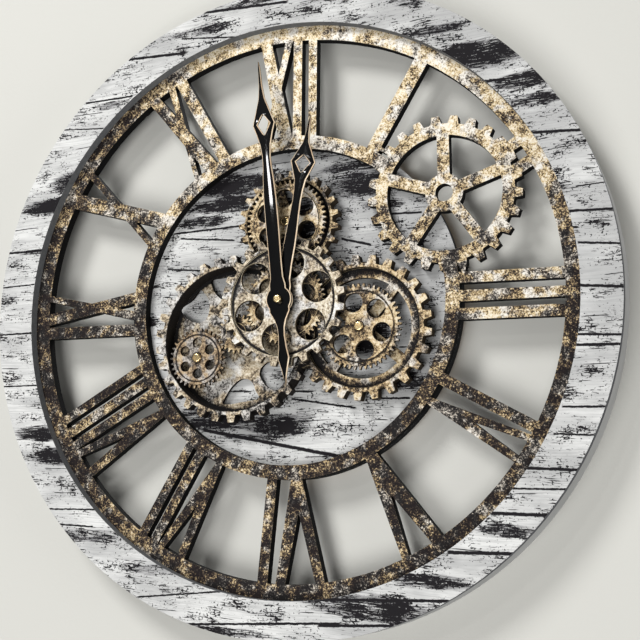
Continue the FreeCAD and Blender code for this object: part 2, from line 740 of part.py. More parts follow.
def contacts(x, y):
    """The two spring strips at the ends of a trough, touching the cell."""
    strips = []
    room = s.case_width / 2 - s.case_wall
    cell_left = -s.cell_length / 2 - s.cell_button_length / 2
    cell_right = s.cell_length / 2 + s.cell_button_length / 2
    middle = s.case_wall + s.cell_trough / 2 - s.contact_width / 2
    low = s.pocket_level - s.case_wall - s.cell_radius - s.contact_width / 2
    for wall, touch in ((-room, cell_left), (room, cell_right)):
        left, right = min(wall, touch), max(wall, touch)
        profile = [(left, 0), (left + s.contact_thickness, 0),
                   (left + s.contact_thickness, s.contact_width - s.contact_thickness),
                   (right - s.contact_thickness, s.contact_width - s.contact_thickness),
                   (right - s.contact_thickness, 0), (right, 0),
                   (right, s.contact_width), (left, s.contact_width)]
        strips.append(slab(polygon(profile), s.contact_width, low))
    piece = drawn(Part.makeCompound(strips), x, y + middle)
    return piece


node("movement_cell", cell(0, -s.case_below))
node("movement_contacts", contacts(0, -s.case_below))

coil_x = (s.case_width / 2 - s.case_wall) - s.coil_radius - 2 * s.overrun
coil_level = s.chamber_level - s.coil_radius - s.overrun
bobbin = Part.makeCylinder(s.coil_radius, s.coil_length, V(0, -s.coil_length / 2, 0), V(0, 1, 0))
core_width = 2 * s.coil_radius
ends = [Part.makeBox(core_width, s.overrun, s.coil_radius + s.overrun + s.coil_radius,
                     V(-s.coil_radius, place, -s.coil_radius))
        for place in (-s.coil_length / 2 - s.overrun, s.coil_length / 2)]
node("movement_coil", drawn(bobbin.fuse(ends), coil_x, 0, coil_level))
circuit = block("circuit_width", "circuit_height", "circuit_thickness",
                "-case_width / 2 + case_wall + circuit_width / 2",
                "-case_below + 2 * case_wall + cell_trough", "chamber_level - circuit_thickness")
node("movement_circuit", circuit)

# Motion work: cannon wheel on the minute arbor, motion wheel with its pinion, hour wheel

def small_wheel(teeth, module, phase, width):
    pitch = teeth * module / 2
    return slab(toothed(teeth, pitch + addendum_share * module, pitch - dedendum_share * module,
                        phase, fine_tooth_shares), width)


def meshing_phase(angle, teeth, phase, other_teeth):
    """The phase of the other gear, which lies at an angle from the first and is in mesh."""
    first = (angle - phase) * teeth / 360.0
    return angle + 180 - (0.5 - first) * 360.0 / other_teeth


cannon = small_wheel(s.cannon_teeth, s.cannon_module, 0.0, s.wheel_width)
arbor_top = s.minute_level + s.hand_thickness + s.nut_width - s.overrun
arbor_foot = s.motion_level - s.wheel_width
arbor = Part.makeCylinder(s.arbor_radius, arbor_top - arbor_foot, V(0, 0, arbor_foot))
cannon.translate(V(0, 0, s.motion_level))
node("minute_arbor", drawn(arbor.fuse(cannon).removeSplitter()))
motion_phase = meshing_phase(s.motion_angle, s.cannon_teeth, 0.0, s.motion_teeth)
motion_wheel = small_wheel(s.motion_teeth, s.cannon_module, motion_phase, s.wheel_width)
pinion = small_wheel(s.motion_pinion_teeth, s.hour_module, motion_phase,
                     s.hour_wheel_level - s.motion_level)
pinion.translate(V(0, 0, s.wheel_width))
pivot_length = s.chamber_level + s.pivot_depth - s.motion_level - s.running_gap
pivot = Part.makeCylinder(s.pivot_radius, pivot_length)
node("motion_wheel", drawn(motion_wheel.fuse([pinion, pivot]).removeSplitter(), s.motion_x,
                           s.motion_y, s.motion_level))
knob_back = s.cover_level - s.end_gap - s.knob_width
knob = slab(toothed(2 * s.cannon_teeth, s.knob_radius, (1 - knurl_share) * s.knob_radius, 0.0,
                    knob_tooth_shares), s.knob_width)
knob_shaft = Part.makeCylinder(s.arbor_radius, s.motion_level - knob_back)
node("setting_knob", drawn(knob.fuse(knob_shaft).removeSplitter(), s.motion_x, s.motion_y,
                           knob_back))
hour_phase = meshing_phase(s.motion_angle + 180, s.motion_pinion_teeth, motion_phase, s.hour_teeth)
hour_wheel = small_wheel(s.hour_teeth, s.hour_module, hour_phase, s.wheel_width)
node("hour_wheel", drawn(hour_wheel.cut(Part.makeCylinder(s.tube_radius, s.board)).removeSplitter(),
                         level=s.hour_wheel_level))
tube_top = "hour_level + hand_thickness"
node("hour_tube", without(rod("tube_radius", f"{tube_top} - hour_wheel_level", "hour_wheel_level"),
                          rod("tube_bore_radius", f"{tube_top}", "hour_wheel_level - overrun")))

# Hands: flat blades with bevelled edges, each with a ridge and a diamond opening


def mirrored(profile):
    """An outline that is the same on both sides of the hand's axis."""
    return profile + [(-x, y) for x, y in reversed(profile) if x]


def blade(profile, length):
    return [(half * length, height * length) for height, half in profile]


def hand(outline, hub_radius, diamond, length, bore, angle):
    """A hand with its bore at the origin, turned anticlockwise from +y by its angle."""
    body = slab(polygon(turned(outline, -angle)), s.hand_thickness)
    body = body.fuse(Part.makeCylinder(hub_radius, s.hand_thickness)).removeSplitter()
    foot, middle, head, half = (share * length for share in diamond)
    corners = [(0, foot), (half, middle), (0, head), (-half, middle)]
    opening = slab(polygon(turned(corners, -angle)), 3 * s.hand_thickness, -s.hand_thickness)
    bore_tool = Part.makeCylinder(bore, 3 * s.hand_thickness, V(0, 0, -s.hand_thickness))
    return body.cut([opening, bore_tool])


minute_up = blade(minute_shares, s.minute_length)
minute_down = [(half, -height) for half, height in blade(tail_shares, s.minute_tail)]
minute_outline = mirrored(list(reversed(minute_down)) + minute_up)
minute_hub = hub_share * s.minute_length
minute = hand(minute_outline, minute_hub, minute_diamond_shares, s.minute_length, s.arbor_radius,
              s.minute_angle)
node("minute_hand", drawn(minute, level=s.minute_level))
hour_outline = mirrored([(hour_shares[0][1] * s.hour_length, 0.0)]
                        + blade(hour_shares, s.hour_length))
hour_hub = hour_hub_share * s.hour_length
hour = hand(hour_outline, hour_hub, hour_diamond_shares, s.hour_length, s.tube_radius,
            s.hour_angle)
node("hour_hand", drawn(hour, level=s.hour_level))
nut_level = s.minute_level + s.hand_thickness
nut_body = Part.makeCylinder(s.nut_radius, s.nut_width)
nut_body = nut_body.makeFillet(s.nut_width / 3, [nut_body.Edges[0]])
nut_bore = Part.makeCylinder(s.arbor_radius, s.nut_width - s.overrun)
node("hand_nut", drawn(nut_body.cut(nut_bore), level=nut_level))

# Centre gear: a sleeve on the neck carries a fine gear and the ring gear in front


def fine_gear(teeth, phase, face_radius, hole_radius, hole_circle, hole_phase, bore, hub=0.0,
              hub_length=0.0):
    """A gear with small teeth, a face that stands a step proud and a ring of holes."""
    pitch = teeth * s.fine_module / 2
    wheel = slab(toothed(teeth, pitch + s.fine_addendum, pitch - s.fine_dedendum, phase,
                         fine_tooth_shares), s.fine_width - s.fine_step)
    wheel = wheel.fuse(Part.makeCylinder(face_radius, s.fine_width))
    if hub_length:
        wheel = wheel.fuse(Part.makeCylinder(hub, hub_length, V(0, 0, -hub_length)))
    tools = [Part.makeCylinder(bore, hub_length + 3 * s.fine_width,
                               V(0, 0, -hub_length - s.fine_width))]
    if hole_radius:
        tools += holes(s.fine_holes, hole_radius, hole_circle, hole_phase, s.fine_width)
    return wheel.cut(tools).removeSplitter()


fine_phase = 0.0
sleeve_foot = "disc_front + neck_nut_width + end_gap"
node("centre_sleeve", without(
    rod("sleeve_radius", f"{sleeve_top} - ({sleeve_foot})", sleeve_foot),
    rod("neck_radius + running_gap", "centre_front", f"{sleeve_foot} - overrun")))
node("centre_fine_gear", drawn(
    fine_gear(s.fine_teeth, fine_phase, s.fine_face_radius, s.fine_hole_radius, s.fine_hole_circle,
              s.centre_hole_phase, s.sleeve_radius), level=s.fine_level))


def ring_gear_centre():
    wheel = slab(toothed(s.centre_teeth, s.centre_tip_radius, s.centre_root_radius,
                         s.centre_phase, centre_tooth_shares), s.centre_width)
    recess = Part.makeCylinder(s.centre_rim_inner_radius, s.centre_recess + s.overrun,
                               V(0, 0, s.centre_width - s.centre_recess))
    bore = Part.makeCylinder(s.sleeve_radius, 3 * s.centre_width, V(0, 0, -s.centre_width))
    return wheel.cut([recess, bore] + holes(s.centre_holes, s.centre_hole_radius,
                                            s.centre_hole_circle, s.centre_hole_phase,
                                            s.centre_width)).removeSplitter()


node("centre_ring_gear", drawn(ring_gear_centre(), level=s.centre_level))


def ring_gear(teeth, tip, root, rim_inner, ledge, ledge_width, count, width, spoke_phase, phase,
              shares, bore):
    """A toothed ring with a lower ledge, spokes and a hub that reaches back to its flange."""
    wheel = slab(toothed(teeth, tip, root, phase, shares), s.ring_width)
    wheel = wheel.cut(Part.makeCylinder(ledge, 3 * s.ring_width, V(0, 0, -s.ring_width)))
    wheel = wheel.cut(Part.makeCylinder(rim_inner, s.ring_width, V(0, 0, ledge_width)))
    hub_drop = s.ring_level - s.hub_back
    hub = Part.makeCylinder(s.hub_radius, hub_drop + s.fine_level - s.ring_level,
                            V(0, 0, -hub_drop))
    arms = spokes(count, width, bore + s.overrun, (ledge + rim_inner) / 2, spoke_phase, ledge_width)
    wheel = wheel.fuse([hub] + arms)
    return wheel.cut(Part.makeCylinder(bore, s.rim_depth, V(0, 0, -hub_drop))).removeSplitter()


# Top gear: turns on a post that is fixed in the disc

turning_bore = s.axle_radius + s.running_gap
node("top_ring_gear", drawn(
    ring_gear(s.top_teeth, s.top_tip_radius, s.top_root_radius, s.top_rim_inner_radius,
              s.top_ledge_radius, s.top_ledge_width, s.top_spokes, s.top_spoke_width,
              s.top_spoke_phase, s.top_phase, top_tooth_shares, turning_bore),
    s.top_x, s.top_y, s.ring_level))
top_fine_phase = meshing_phase(s.top_angle, s.fine_teeth, fine_phase, s.fine_teeth)
node("top_fine_gear", drawn(
    fine_gear(s.fine_teeth, top_fine_phase, s.fine_face_radius, s.fine_hole_radius,
              s.fine_hole_circle, s.top_hole_phase, turning_bore), s.top_x, s.top_y, s.fine_level))
post_top = "fine_front + end_gap"
node("top_post", joined(rod("axle_radius", f"{post_top} - disc_back", "disc_back", "top_x", "top_y"),
                        rod("flange_radius", "flange_width", "disc_front", "top_x", "top_y")))


def cap(radius, level, x, y):
    """A domed brass cap."""
    body = Part.makeCylinder(radius, s.cap_width)
    body = body.makeFillet(s.cap_width / 2, [body.Edges[0]])
    return drawn(body, x, y, level)


node("top_cap", cap(s.cap_radius, s.fine_front + s.end_gap, s.top_x, s.top_y))

# Right gear: fixed on the axle that the drive unit turns

node("right_ring_gear", drawn(
    ring_gear(s.right_teeth, s.right_tip_radius, s.right_root_radius, s.right_rim_inner_radius,
              s.right_ledge_radius, s.right_ledge_width, s.right_spokes, s.right_spoke_width,
              s.right_spoke_phase, s.right_phase, right_tooth_shares, s.axle_radius),
    s.right_x, s.right_y, s.ring_level))
right_fine_phase = meshing_phase(s.right_angle, s.fine_teeth, fine_phase, s.fine_teeth)
node("right_fine_gear", drawn(
    fine_gear(s.fine_teeth, right_fine_phase, s.fine_face_radius, s.fine_hole_radius,
              s.fine_hole_circle, s.right_hole_phase, s.axle_radius),
    s.right_x, s.right_y, s.fine_level))
axle_foot = "drive_level - wheel_width"
node("right_axle", rod("axle_radius", f"fine_front - ({axle_foot})", axle_foot,
                       "right_x", "right_y"))
node("right_cap", cap(s.cap_radius, s.fine_front, s.right_x, s.right_y))
node("right_bush", without(
    joined(rod("bush_radius", "disc_front - pocket_level", "pocket_level", "right_x", "right_y"),
           rod("flange_radius", "flange_width", "disc_front", "right_x", "right_y")),
    rod("axle_radius + running_gap", "rim_depth", "overrun", "right_x", "right_y")))

# Left gear plate: a deep dish that stands still and carries the idler and the small gear


def left_plate():
    web = s.plate_web_level - s.plate_back_level
    depth = s.plate_front_level - s.plate_back_level
    tooth_foot = depth - s.plate_tooth_width
    body = Part.makeCylinder(s.plate_root_radius, depth)
    teeth = slab(toothed(s.plate_teeth, s.plate_tip_radius, s.plate_root_radius, s.plate_phase,
                         plate_tooth_shares), s.plate_tooth_width, tooth_foot)
    teeth = teeth.fuse(Part.makeCylinder(s.plate_root_radius, s.plate_tooth_width,
                                         V(0, 0, tooth_foot)))
    body = body.fuse(teeth)
    body = body.cut(Part.makeCylinder(s.plate_inner_radius, depth, V(0, 0, web)))
    centre = V(s.plate_x, s.plate_y, 0)
    tools = []
    for window in plate_window_shares:
        corners = [V(x * s.plate_inner_radius, y * s.plate_inner_radius, -s.overrun)
                   for x, y in window]
        curve = Part.BSplineCurve()
        curve.interpolate(corners, PeriodicFlag=True)
        tools.append(Part.Face(Part.Wire(curve.toShape())).extrude(V(0, 0, web + 2 * s.overrun)))
    body = body.cut(tools)
    feet = []
    for x, y in foot_places:
        drop = s.plate_back_level - s.disc_front
        feet.append(Part.makeCylinder(s.plate_foot_radius, drop, V(x, y, -drop) - centre))
    body = body.fuse(feet)
    ring_top = s.ring_front + s.tooth_gap - s.plate_back_level
    fine_foot = s.fine_level - s.tooth_gap - s.plate_back_level
    front_foot = s.centre_level - s.end_gap - s.plate_back_level
    fine_tip = s.fine_pitch_radius + s.fine_addendum + s.tooth_gap
    small_tip = s.small_pitch_radius + s.fine_addendum + s.tooth_gap
    cuts = [(s.right_x, s.right_y, s.right_tip_radius + s.tooth_gap, -depth, ring_top),
            (s.top_x, s.top_y, s.top_tip_radius + s.tooth_gap, -depth, ring_top),
            (0, 0, fine_tip, fine_foot, 2 * depth),
            (0, 0, s.centre_tip_radius + s.tooth_gap, front_foot, 2 * depth),
            (0, 0, s.plate_neck_radius, -depth, 2 * depth),
            (s.small_x, s.small_y, small_tip, web, 2 * depth)]
    clearances = [Part.makeCylinder(radius, top - foot, V(x, y, foot) - centre)
                  for x, y, radius, foot, top in cuts]
    bites = [Part.makeCylinder(s.screw_radius, s.foot_bite,
                               V(x, y, s.disc_front - s.plate_back_level) - centre)
             for x, y in foot_places]
    posts = [Part.makeCylinder(s.small_post_radius, 3 * web, V(x, y, -web) - centre)
             for x, y in ((s.idler_x, s.idler_y), (s.small_x, s.small_y))]
    body = body.cut(clearances + bites + posts).removeSplitter()
    # Tips of teeth that the centre gear's clearance leaves loose are not part of the plate
    return max(body.Solids, key=lambda solid: solid.Volume)


node("left_gear_plate", drawn(left_plate(), s.plate_x, s.plate_y, s.plate_back_level))
node("plate_screws", drawn(Part.makeCompound(
    screws(foot_places, s.disc_back, s.board + s.foot_bite))))

small_bore = s.small_post_radius + s.running_gap
hub_length = s.fine_level - s.plate_web_level - s.end_gap
idler_phase = meshing_phase(s.small_angle, s.fine_teeth, fine_phase, s.idler_teeth)
small_phase = meshing_phase(s.small_angle, s.idler_teeth, idler_phase, s.small_teeth)
node("idler_gear", drawn(
    fine_gear(s.idler_teeth, idler_phase, s.small_hub_radius + s.cap_radius, 0.0, 0.0, 0.0,
              small_bore, s.small_hub_radius, hub_length), s.idler_x, s.idler_y, s.fine_level))
node("small_gear", drawn(
    fine_gear(s.small_teeth, small_phase, s.small_face_radius, s.small_hole_radius,
              s.small_hole_circle, s.small_hole_phase, small_bore, s.small_hub_radius, hub_length),
    s.small_x, s.small_y, s.fine_level))
node("idler_post", rod("small_post_radius", "fine_front - plate_back_level", "plate_back_level",
                       "idler_x", "idler_y"))
node("small_post", rod("small_post_radius", "fine_front + end_gap - plate_back_level",
                       "plate_back_level", "small_x", "small_y"))
node("small_cap", cap(s.cap_radius, s.fine_front + s.end_gap, s.small_x, s.small_y))

# Gear drive unit behind the disc

drive_case = case_box("case_width", "drive_above", "drive_below", "case_x", "right_y",
                      "case_back_level", case_depth)
node("drive_case", without(drive_case, *drive_shell("drive_above", "drive_below", "case_x",
                                                    "right_y"),
                           rod("bush_radius", "rim_depth", "overrun", "right_x", "right_y")))
drive_cover = block("case_width - 2 * case_wall - 2 * running_gap",
                    f"drive_above + drive_below {cover_height}", "case_wall", "case_x",
                    "right_y - drive_below + 2 * case_wall + cell_trough + running_gap",
                    "cover_level")
switch_window = block("switch_width", "slider_width + 2 * running_gap", "2 * board",
                      "right_x + switch_x", "right_y + switch_y - slider_width / 2 - running_gap",
                      "0")
node("drive_cover", without(drive_cover, switch_window))
node("drive_cell", cell(s.case_x, s.right_y - s.drive_below))
node("drive_contacts", contacts(s.case_x, s.right_y - s.drive_below))
motor_back = "drive_level - end_gap - motor_length"
node("gear_motor", without(
    joined(rod("motor_radius", "motor_length", motor_back, "motor_x", "motor_y"),
           rod("motor_radius / 2", f"{motor_back} - cover_front", "cover_front", "motor_x",
               "motor_y")),
    rod("motor_shaft_radius + running_gap", "motor_length", "drive_level - motor_length + overrun",
        "motor_x", "motor_y")))
wheel = small_wheel(s.drive_wheel_teeth, s.drive_module, 0.0, s.wheel_width)
node("drive_wheel", drawn(wheel.cut(Part.makeCylinder(s.axle_radius, s.board)), s.right_x,
                          s.right_y, s.drive_level))
drive_phase = meshing_phase(s.drive_angle, s.drive_wheel_teeth, 0.0, s.drive_pinion_teeth)
drive_pinion = small_wheel(s.drive_pinion_teeth, s.drive_module, drive_phase, s.wheel_width)
shaft_length = s.motor_length - 2 * s.overrun
motor_shaft = Part.makeCylinder(s.motor_shaft_radius, shaft_length, V(0, 0, -shaft_length))
node("drive_pinion", drawn(drive_pinion.fuse(motor_shaft).removeSplitter(), s.motor_x, s.motor_y,
                           s.drive_level))
switch_body = block("switch_width + 2 * case_wall", "switch_height", "case_wall",
                    "right_x + switch_x", "right_y + switch_y - switch_height / 2",
                    "cover_front + case_wall")
node("switch_body", switch_body)
slider = block("slider_width", "slider_width", "cover_front + case_wall - 2 * case_back_level",
               "right_x + switch_x - switch_travel / 2", "right_y + switch_y - slider_width / 2",
               "2 * case_back_level")
node("switch_slider", slider)

doc.recompute()

faults = [item.Label for item in doc.Objects if {"Invalid", "Error"} & set(item.State)]
faults += [item.Label for item in nodes if item.Shape.isNull() or not item.Shape.isValid()]
if faults:
    raise RuntimeError("These objects failed: " + ", ".join(faults))

os.makedirs("parts", exist_ok=True)
for item in nodes:
    item.Shape.exportStep(f"parts/{item.Label}.step")
    print(item.Label, len(item.Shape.Solids), round(item.Shape.Volume, 1))
print(len(nodes), "nodes")
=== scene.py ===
import json
import math

import bmesh
import bpy
import numpy as np
from mathutils import Matrix, Vector

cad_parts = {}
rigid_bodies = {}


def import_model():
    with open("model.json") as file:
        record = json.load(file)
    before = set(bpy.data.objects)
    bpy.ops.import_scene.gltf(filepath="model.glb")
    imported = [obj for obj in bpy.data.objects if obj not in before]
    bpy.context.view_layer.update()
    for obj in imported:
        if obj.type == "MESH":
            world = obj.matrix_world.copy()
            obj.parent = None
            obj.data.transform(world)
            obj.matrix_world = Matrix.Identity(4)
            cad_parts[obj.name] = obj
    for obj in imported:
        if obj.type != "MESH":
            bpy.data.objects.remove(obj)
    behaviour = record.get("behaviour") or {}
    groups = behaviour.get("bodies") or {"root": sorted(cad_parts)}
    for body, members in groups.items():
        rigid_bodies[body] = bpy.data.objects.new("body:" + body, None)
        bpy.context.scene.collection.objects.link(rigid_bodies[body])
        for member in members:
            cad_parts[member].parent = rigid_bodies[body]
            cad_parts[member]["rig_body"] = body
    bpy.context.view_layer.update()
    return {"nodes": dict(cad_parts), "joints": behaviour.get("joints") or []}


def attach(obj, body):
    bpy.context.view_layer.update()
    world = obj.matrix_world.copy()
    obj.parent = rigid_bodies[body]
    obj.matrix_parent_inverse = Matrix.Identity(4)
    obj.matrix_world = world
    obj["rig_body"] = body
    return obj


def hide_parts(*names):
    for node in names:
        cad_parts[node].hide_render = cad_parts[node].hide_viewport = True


# A printed barn-board wall clock with a cut-through roman dial and turning gears.
# The scene is in metres. Sizes in the dictionaries are in millimetres and go through mm.

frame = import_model()
mm = 0.001
jointPlace = {joint["name"]: Vector(joint["pos_m"]) for joint in frame["joints"] if "pos_m" in joint}


def added(name, data):
    # A new object in the scene, at the origin
    piece = bpy.data.objects.new(name, data)
    bpy.context.scene.collection.objects.link(piece)
    return piece


class Wire:
    # One output of a material's nodes; sums and products of wires add Math nodes
    def __init__(self, finish, socket):
        self.finish = finish
        self.socket = socket

    def math(self, operation, first, second=0.0):
        return self.finish.node("ShaderNodeMath", {"operation": operation}, {0: first, 1: second})

    def __add__(self, other):
        return self.math("ADD", self, other)

    def __sub__(self, other):
        return self.math("SUBTRACT", self, other)

    def __rsub__(self, other):
        return self.math("SUBTRACT", other, self)

    def __mul__(self, other):
        return self.math("MULTIPLY", self, other)

    def __truediv__(self, other):
        return self.math("DIVIDE", self, other)

    def __pow__(self, other):
        return self.math("POWER", self, other)

    __radd__ = __add__
    __rmul__ = __mul__

    def most(self, other):
        return self.math("MAXIMUM", self, other)

    def least(self, other):
        return self.math("MINIMUM", self, other)

    def size(self):
        return self.math("ABSOLUTE", self)

    def band(self, low, high):
        # 0 below low, 1 above high and a smooth step between; high may be the lower one
        settings = {"interpolation_type": "SMOOTHSTEP"}
        return self.finish.node("ShaderNodeMapRange", settings,
                                {"Value": self, "From Min": low, "From Max": high})


class Finish:
    # A material with one principled shader; each surface's pattern is built from its wires
    def __init__(self, name, **constants):
        self.material = bpy.data.materials.new(name)
        self.material.use_nodes = True
        self.tree = self.material.node_tree
        self.tree.nodes.clear()
        self.shader = self.tree.nodes.new("ShaderNodeBsdfPrincipled")
        output = self.tree.nodes.new("ShaderNodeOutputMaterial")
        self.tree.links.new(self.shader.outputs[0], output.inputs["Surface"])
        self.surface(**constants)

    def node(self, kind, settings=None, sockets=None, output=0):
        new = self.tree.nodes.new(kind)
        for key, value in (settings or {}).items():
            if key == "stops":
                ramp = new.color_ramp
                while len(ramp.elements) < len(value):
                    ramp.elements.new(0.5)
                for element, (place, colour) in zip(ramp.elements, value):
                    element.position = place
                    element.color = (*colour, 1)
            else:
                setattr(new, key, value)
        for key, value in (sockets or {}).items():
            self.feed(new.inputs[key], value)
        return Wire(self, new.outputs[output])

    def feed(self, socket, value):
        if isinstance(value, Wire):
            self.tree.links.new(value.socket, socket)
        elif socket.type == "RGBA":
            socket.default_value = (*value, 1)
        else:
            socket.default_value = value

    def surface(self, **sockets):
        for key, value in sockets.items():
            self.feed(self.shader.inputs[key.replace("_", " ")], value)

    def place(self):
        # Object coordinates in millimetres
        point = self.node("ShaderNodeTexCoord", output=3)
        return self.node("ShaderNodeVectorMath", {"operation": "SCALE"}, {0: point, "Scale": 1 / mm})

    def axes(self, vector):
        first = self.node("ShaderNodeSeparateXYZ", None, {0: vector})
        outputs = first.socket.node.outputs
        return [Wire(self, outputs[index]) for index in range(3)]

    def point(self, x, y, z):
        return self.node("ShaderNodeCombineXYZ", None, {0: x, 1: y, 2: z})

    def moved(self, vector, offset):
        return self.node("ShaderNodeVectorMath", {"operation": "ADD"}, {0: vector, 1: offset})

    def distance(self, x, y):
        return self.node("ShaderNodeVectorMath", {"operation": "LENGTH"}, {0: self.point(x, 0.0, y)},
                         output=1)

    def noise(self, vector, size, detail=3.0, roughness=0.5, distortion=0.0):
        # Clouds whose largest features are about size millimetres across
        return self.node("ShaderNodeTexNoise", None,
                         {"Vector": vector, "Scale": 1 / size, "Detail": detail,
                          "Roughness": roughness, "Distortion": distortion})

    def mix(self, factor, first, second):
        return self.node("ShaderNodeMix", {"data_type": "RGBA"}, {0: factor, 6: first, 7: second},
                         output=2)

    def ramp(self, value, stops):
        return self.node("ShaderNodeValToRGB", {"stops": stops}, {0: value})

    def facing(self):
        # How squarely the surface faces the viewer: 1 full on, 0 edge on, -1 turned away
        normal = self.node("ShaderNodeTexCoord", output=1)
        return self.axes(normal)[1] * -1.0

    def cornerShade(self, reach):
        # Painted shade: 1 in the open and towards 0 in corners and under close pieces, out to a reach in mm
        return self.node("ShaderNodeAmbientOcclusion", {"samples": 6},
                         {"Distance": reach * mm}, output=1)

    def bump(self, height, strength, depth):
        normal = self.node("ShaderNodeBump", None,
                           {"Height": height, "Strength": strength, "Distance": depth * mm})
        self.surface(Normal=normal)


# Printed boards: pale grey planks that run level, with seams, cracks, smudges and specks, under painted
# shade and, on the disc, painted shadows of the gears

# Fibre is the size, detail and roughness of its clouds
boardValues = {
    "fan": 0.0003, "wave": 9.0, "waveWidth": 90, "waveRise": 30, "waveDetail": 2, "cloudRoughness": 0.6,
    "pale": (0.62, 0.62, 0.605), "grey": (0.27, 0.27, 0.27), "ink": (0.012, 0.011, 0.0125),
    "smoke": (0.07, 0.067, 0.074), "soot": (0.02, 0.02, 0.021),
    "back": (0.21, 0.145, 0.09), "fluff": (0.30, 0.22, 0.145),
    "softAmount": 0.65, "grainAmount": 0.42, "smokyAmount": 0.75, "scratchAmount": 0.8,
    "inkDepth": 0.7, "grainDepth": 0.3, "fibre": (3.0, 5, 0.7), "fibreBand": (0.35, 0.7),
    "sootAmount": 0.3, "sideBand": (0.60, 0.45), "backBand": (-0.45, -0.60),
    "roughness": 0.55, "fibreRoughness": 0.25, "specular": 0.06,
    "printRelief": 0.6, "fibreRelief": 0.4, "relief": 0.35, "reliefDepth": 0.25,
}
# Clouds of noise, stretched along the grain: width and rise of their largest features, their
# detail, and how far off each is taken so that no two are alike
printClouds = {
    "jitter": (5, 3, 3, 0.0), "seam": (60, 50, 3, 3.0), "crack": (34, 12, 2, 5.0),
    "patch": (60, 16, 3, 9.0), "ragged": (16, 2.6, 6, 12.0), "scratch": (24, 0.8, 4, 15.0),
    "cluster": (26, 12, 2, 18.0), "speck": (2.2, 1.7, 3, 21.0), "dash": (11, 1.0, 4, 24.0),
    "grain": (38, 1.3, 4, 27.0), "soft": (80, 24, 4, 30.0),
}
# Each mark is a sum of clouds, with the share of each, and starts and is full at its band's ends
printMarks = {
    "scratch": {"scratch": 1.0, "band": (0.52, 0.57)},
    "solid": {"patch": 0.5, "ragged": 1.1, "band": (0.98, 1.02)},
    "speck": {"speck": 1.0, "cluster": 0.55, "band": (0.94, 0.97)},
    "dash": {"dash": 1.0, "cluster": 0.60, "band": (0.965, 0.995)},
    "soft": {"soft": 1.0, "band": (0.36, 0.70)},
    "grain": {"grain": 1.0, "band": (0.42, 0.66)},
    "smoky": {"patch": 0.80, "ragged": 0.40, "grain": 0.25, "band": (0.72, 0.98)},
}
# Level lines: their pitch and unevenness. Half the width grows with a cloud above its middle,
# up to the widest, then is roughened and blurred.
printLines = {
    "seam": {"pitch": 31.0, "uneven": 0.6, "middle": 0.55, "grow": 12, "widest": 1.0,
             "rough": 1.6, "blur": 0.5},
    "crack": {"pitch": 13.0, "uneven": 1.0, "middle": 0.53, "grow": 9, "widest": 0.55,
              "rough": 0.6, "blur": 0.4},
}
longCrack = {"wobble": 1.8, "taper": 2, "square": 6.0, "band": (1.15, 0.75)}
smudgeAndShadow = {"cloud": 0.75, "band": (1.45, 0.25), "cluster": 0.30}
# Each board's own print. The grey shift towards the upper right is painted shade: its start and end along x
# + level, and how much. Shift takes its clouds to another place, and edge is the paint of its cut sides. A
# smudge is x, height, half width, half height and strength; on the disc, the two over the middles of the
# top and right gears are painted shadow. A crack between two planks is x and height of both ends and half
# the width.
rimBoard = {
    "paintedShade": (60.0, 330.0, 0.12), "shift": 7.0, "edge": (0.16, 0.165, 0.17),
    "smudgesAndShadows": [
        (-78, 243, 40, 6, 0.9), (-30, 262, 45, 4, 0.8), (48, 258, 42, 4, 0.9), (112, 246, 30, 13, 0.75),
        (128, 215, 40, 6, 0.9), (165, 190, 48, 15, 1.3), (205, 165, 38, 9, 1.15), (213, 148, 38, 7, 1.0),
        (226, 120, 22, 4, 0.6), (-165, 186, 26, 6, 0.8), (-192, 120, 36, 12, 1.3), (-222, 100, 32, 8, 1.3),
        (-236, 60, 26, 3, 0.9), (-222, -100, 34, 8, 1.3), (-208, -120, 32, 9, 1.25),
        (-175, -186, 46, 9, 0.8), (-120, -214, 44, 8, 0.7), (-50, -262, 60, 5, 0.9),
        (70, -242, 70, 14, 1.0), (120, -222, 44, 8, 0.95), (176, -184, 36, 7, 0.9), (-20, -246, 40, 4, 0.5),
        (-222, 20, 20, 3, 0.5), (-232, -62, 30, 3, 0.5),
    ],
    "cracks": [
        (-146, 226, -95, 225, 1.3), (-95, 238, -45, 233, 0.7), (-263, 61, -230, 61, 1.1),
        (-214, 169, -173, 166, 0.6), (-188, 191, -145, 192, 0.9), (-267, 30, -238, 31, 0.6),
        (-74, 259, 0, 258, 1.3), (170, 167, 212, 167, 1.1), (205, 121, 243, 119, 1.2),
        (239, 75, 260, 76, 0.6), (233, 56, 265, 55, 1.1), (239, 31, 269, 28, 1.0),
        (239, -2, 270, -5, 1.2), (236, -39, 268, -41, 1.0), (-269, -12, -239, -12, 0.8),
        (-263, -58, -232, -58, 0.7), (-214, -164, -171, -165, 0.7), (-204, -177, -174, -179, 0.8),
        (-128, -236, -57, -231, 0.7), (-83, -257, 45, -254, 1.0), (235, -47, 267, -48, 1.2),
        (223, -93, 254, -94, 0.9), (195, -138, 231, -140, 1.2), (184, -153, 222, -154, 0.8),
        (167, -171, 207, -173, 1.4), (133, -200, 181, -201, 1.5), (216, -113, 247, -115, 0.8),
        (29, -256, 87, -255, 1.2), (40, -236, 133, -236, 1.2),
    ],
}
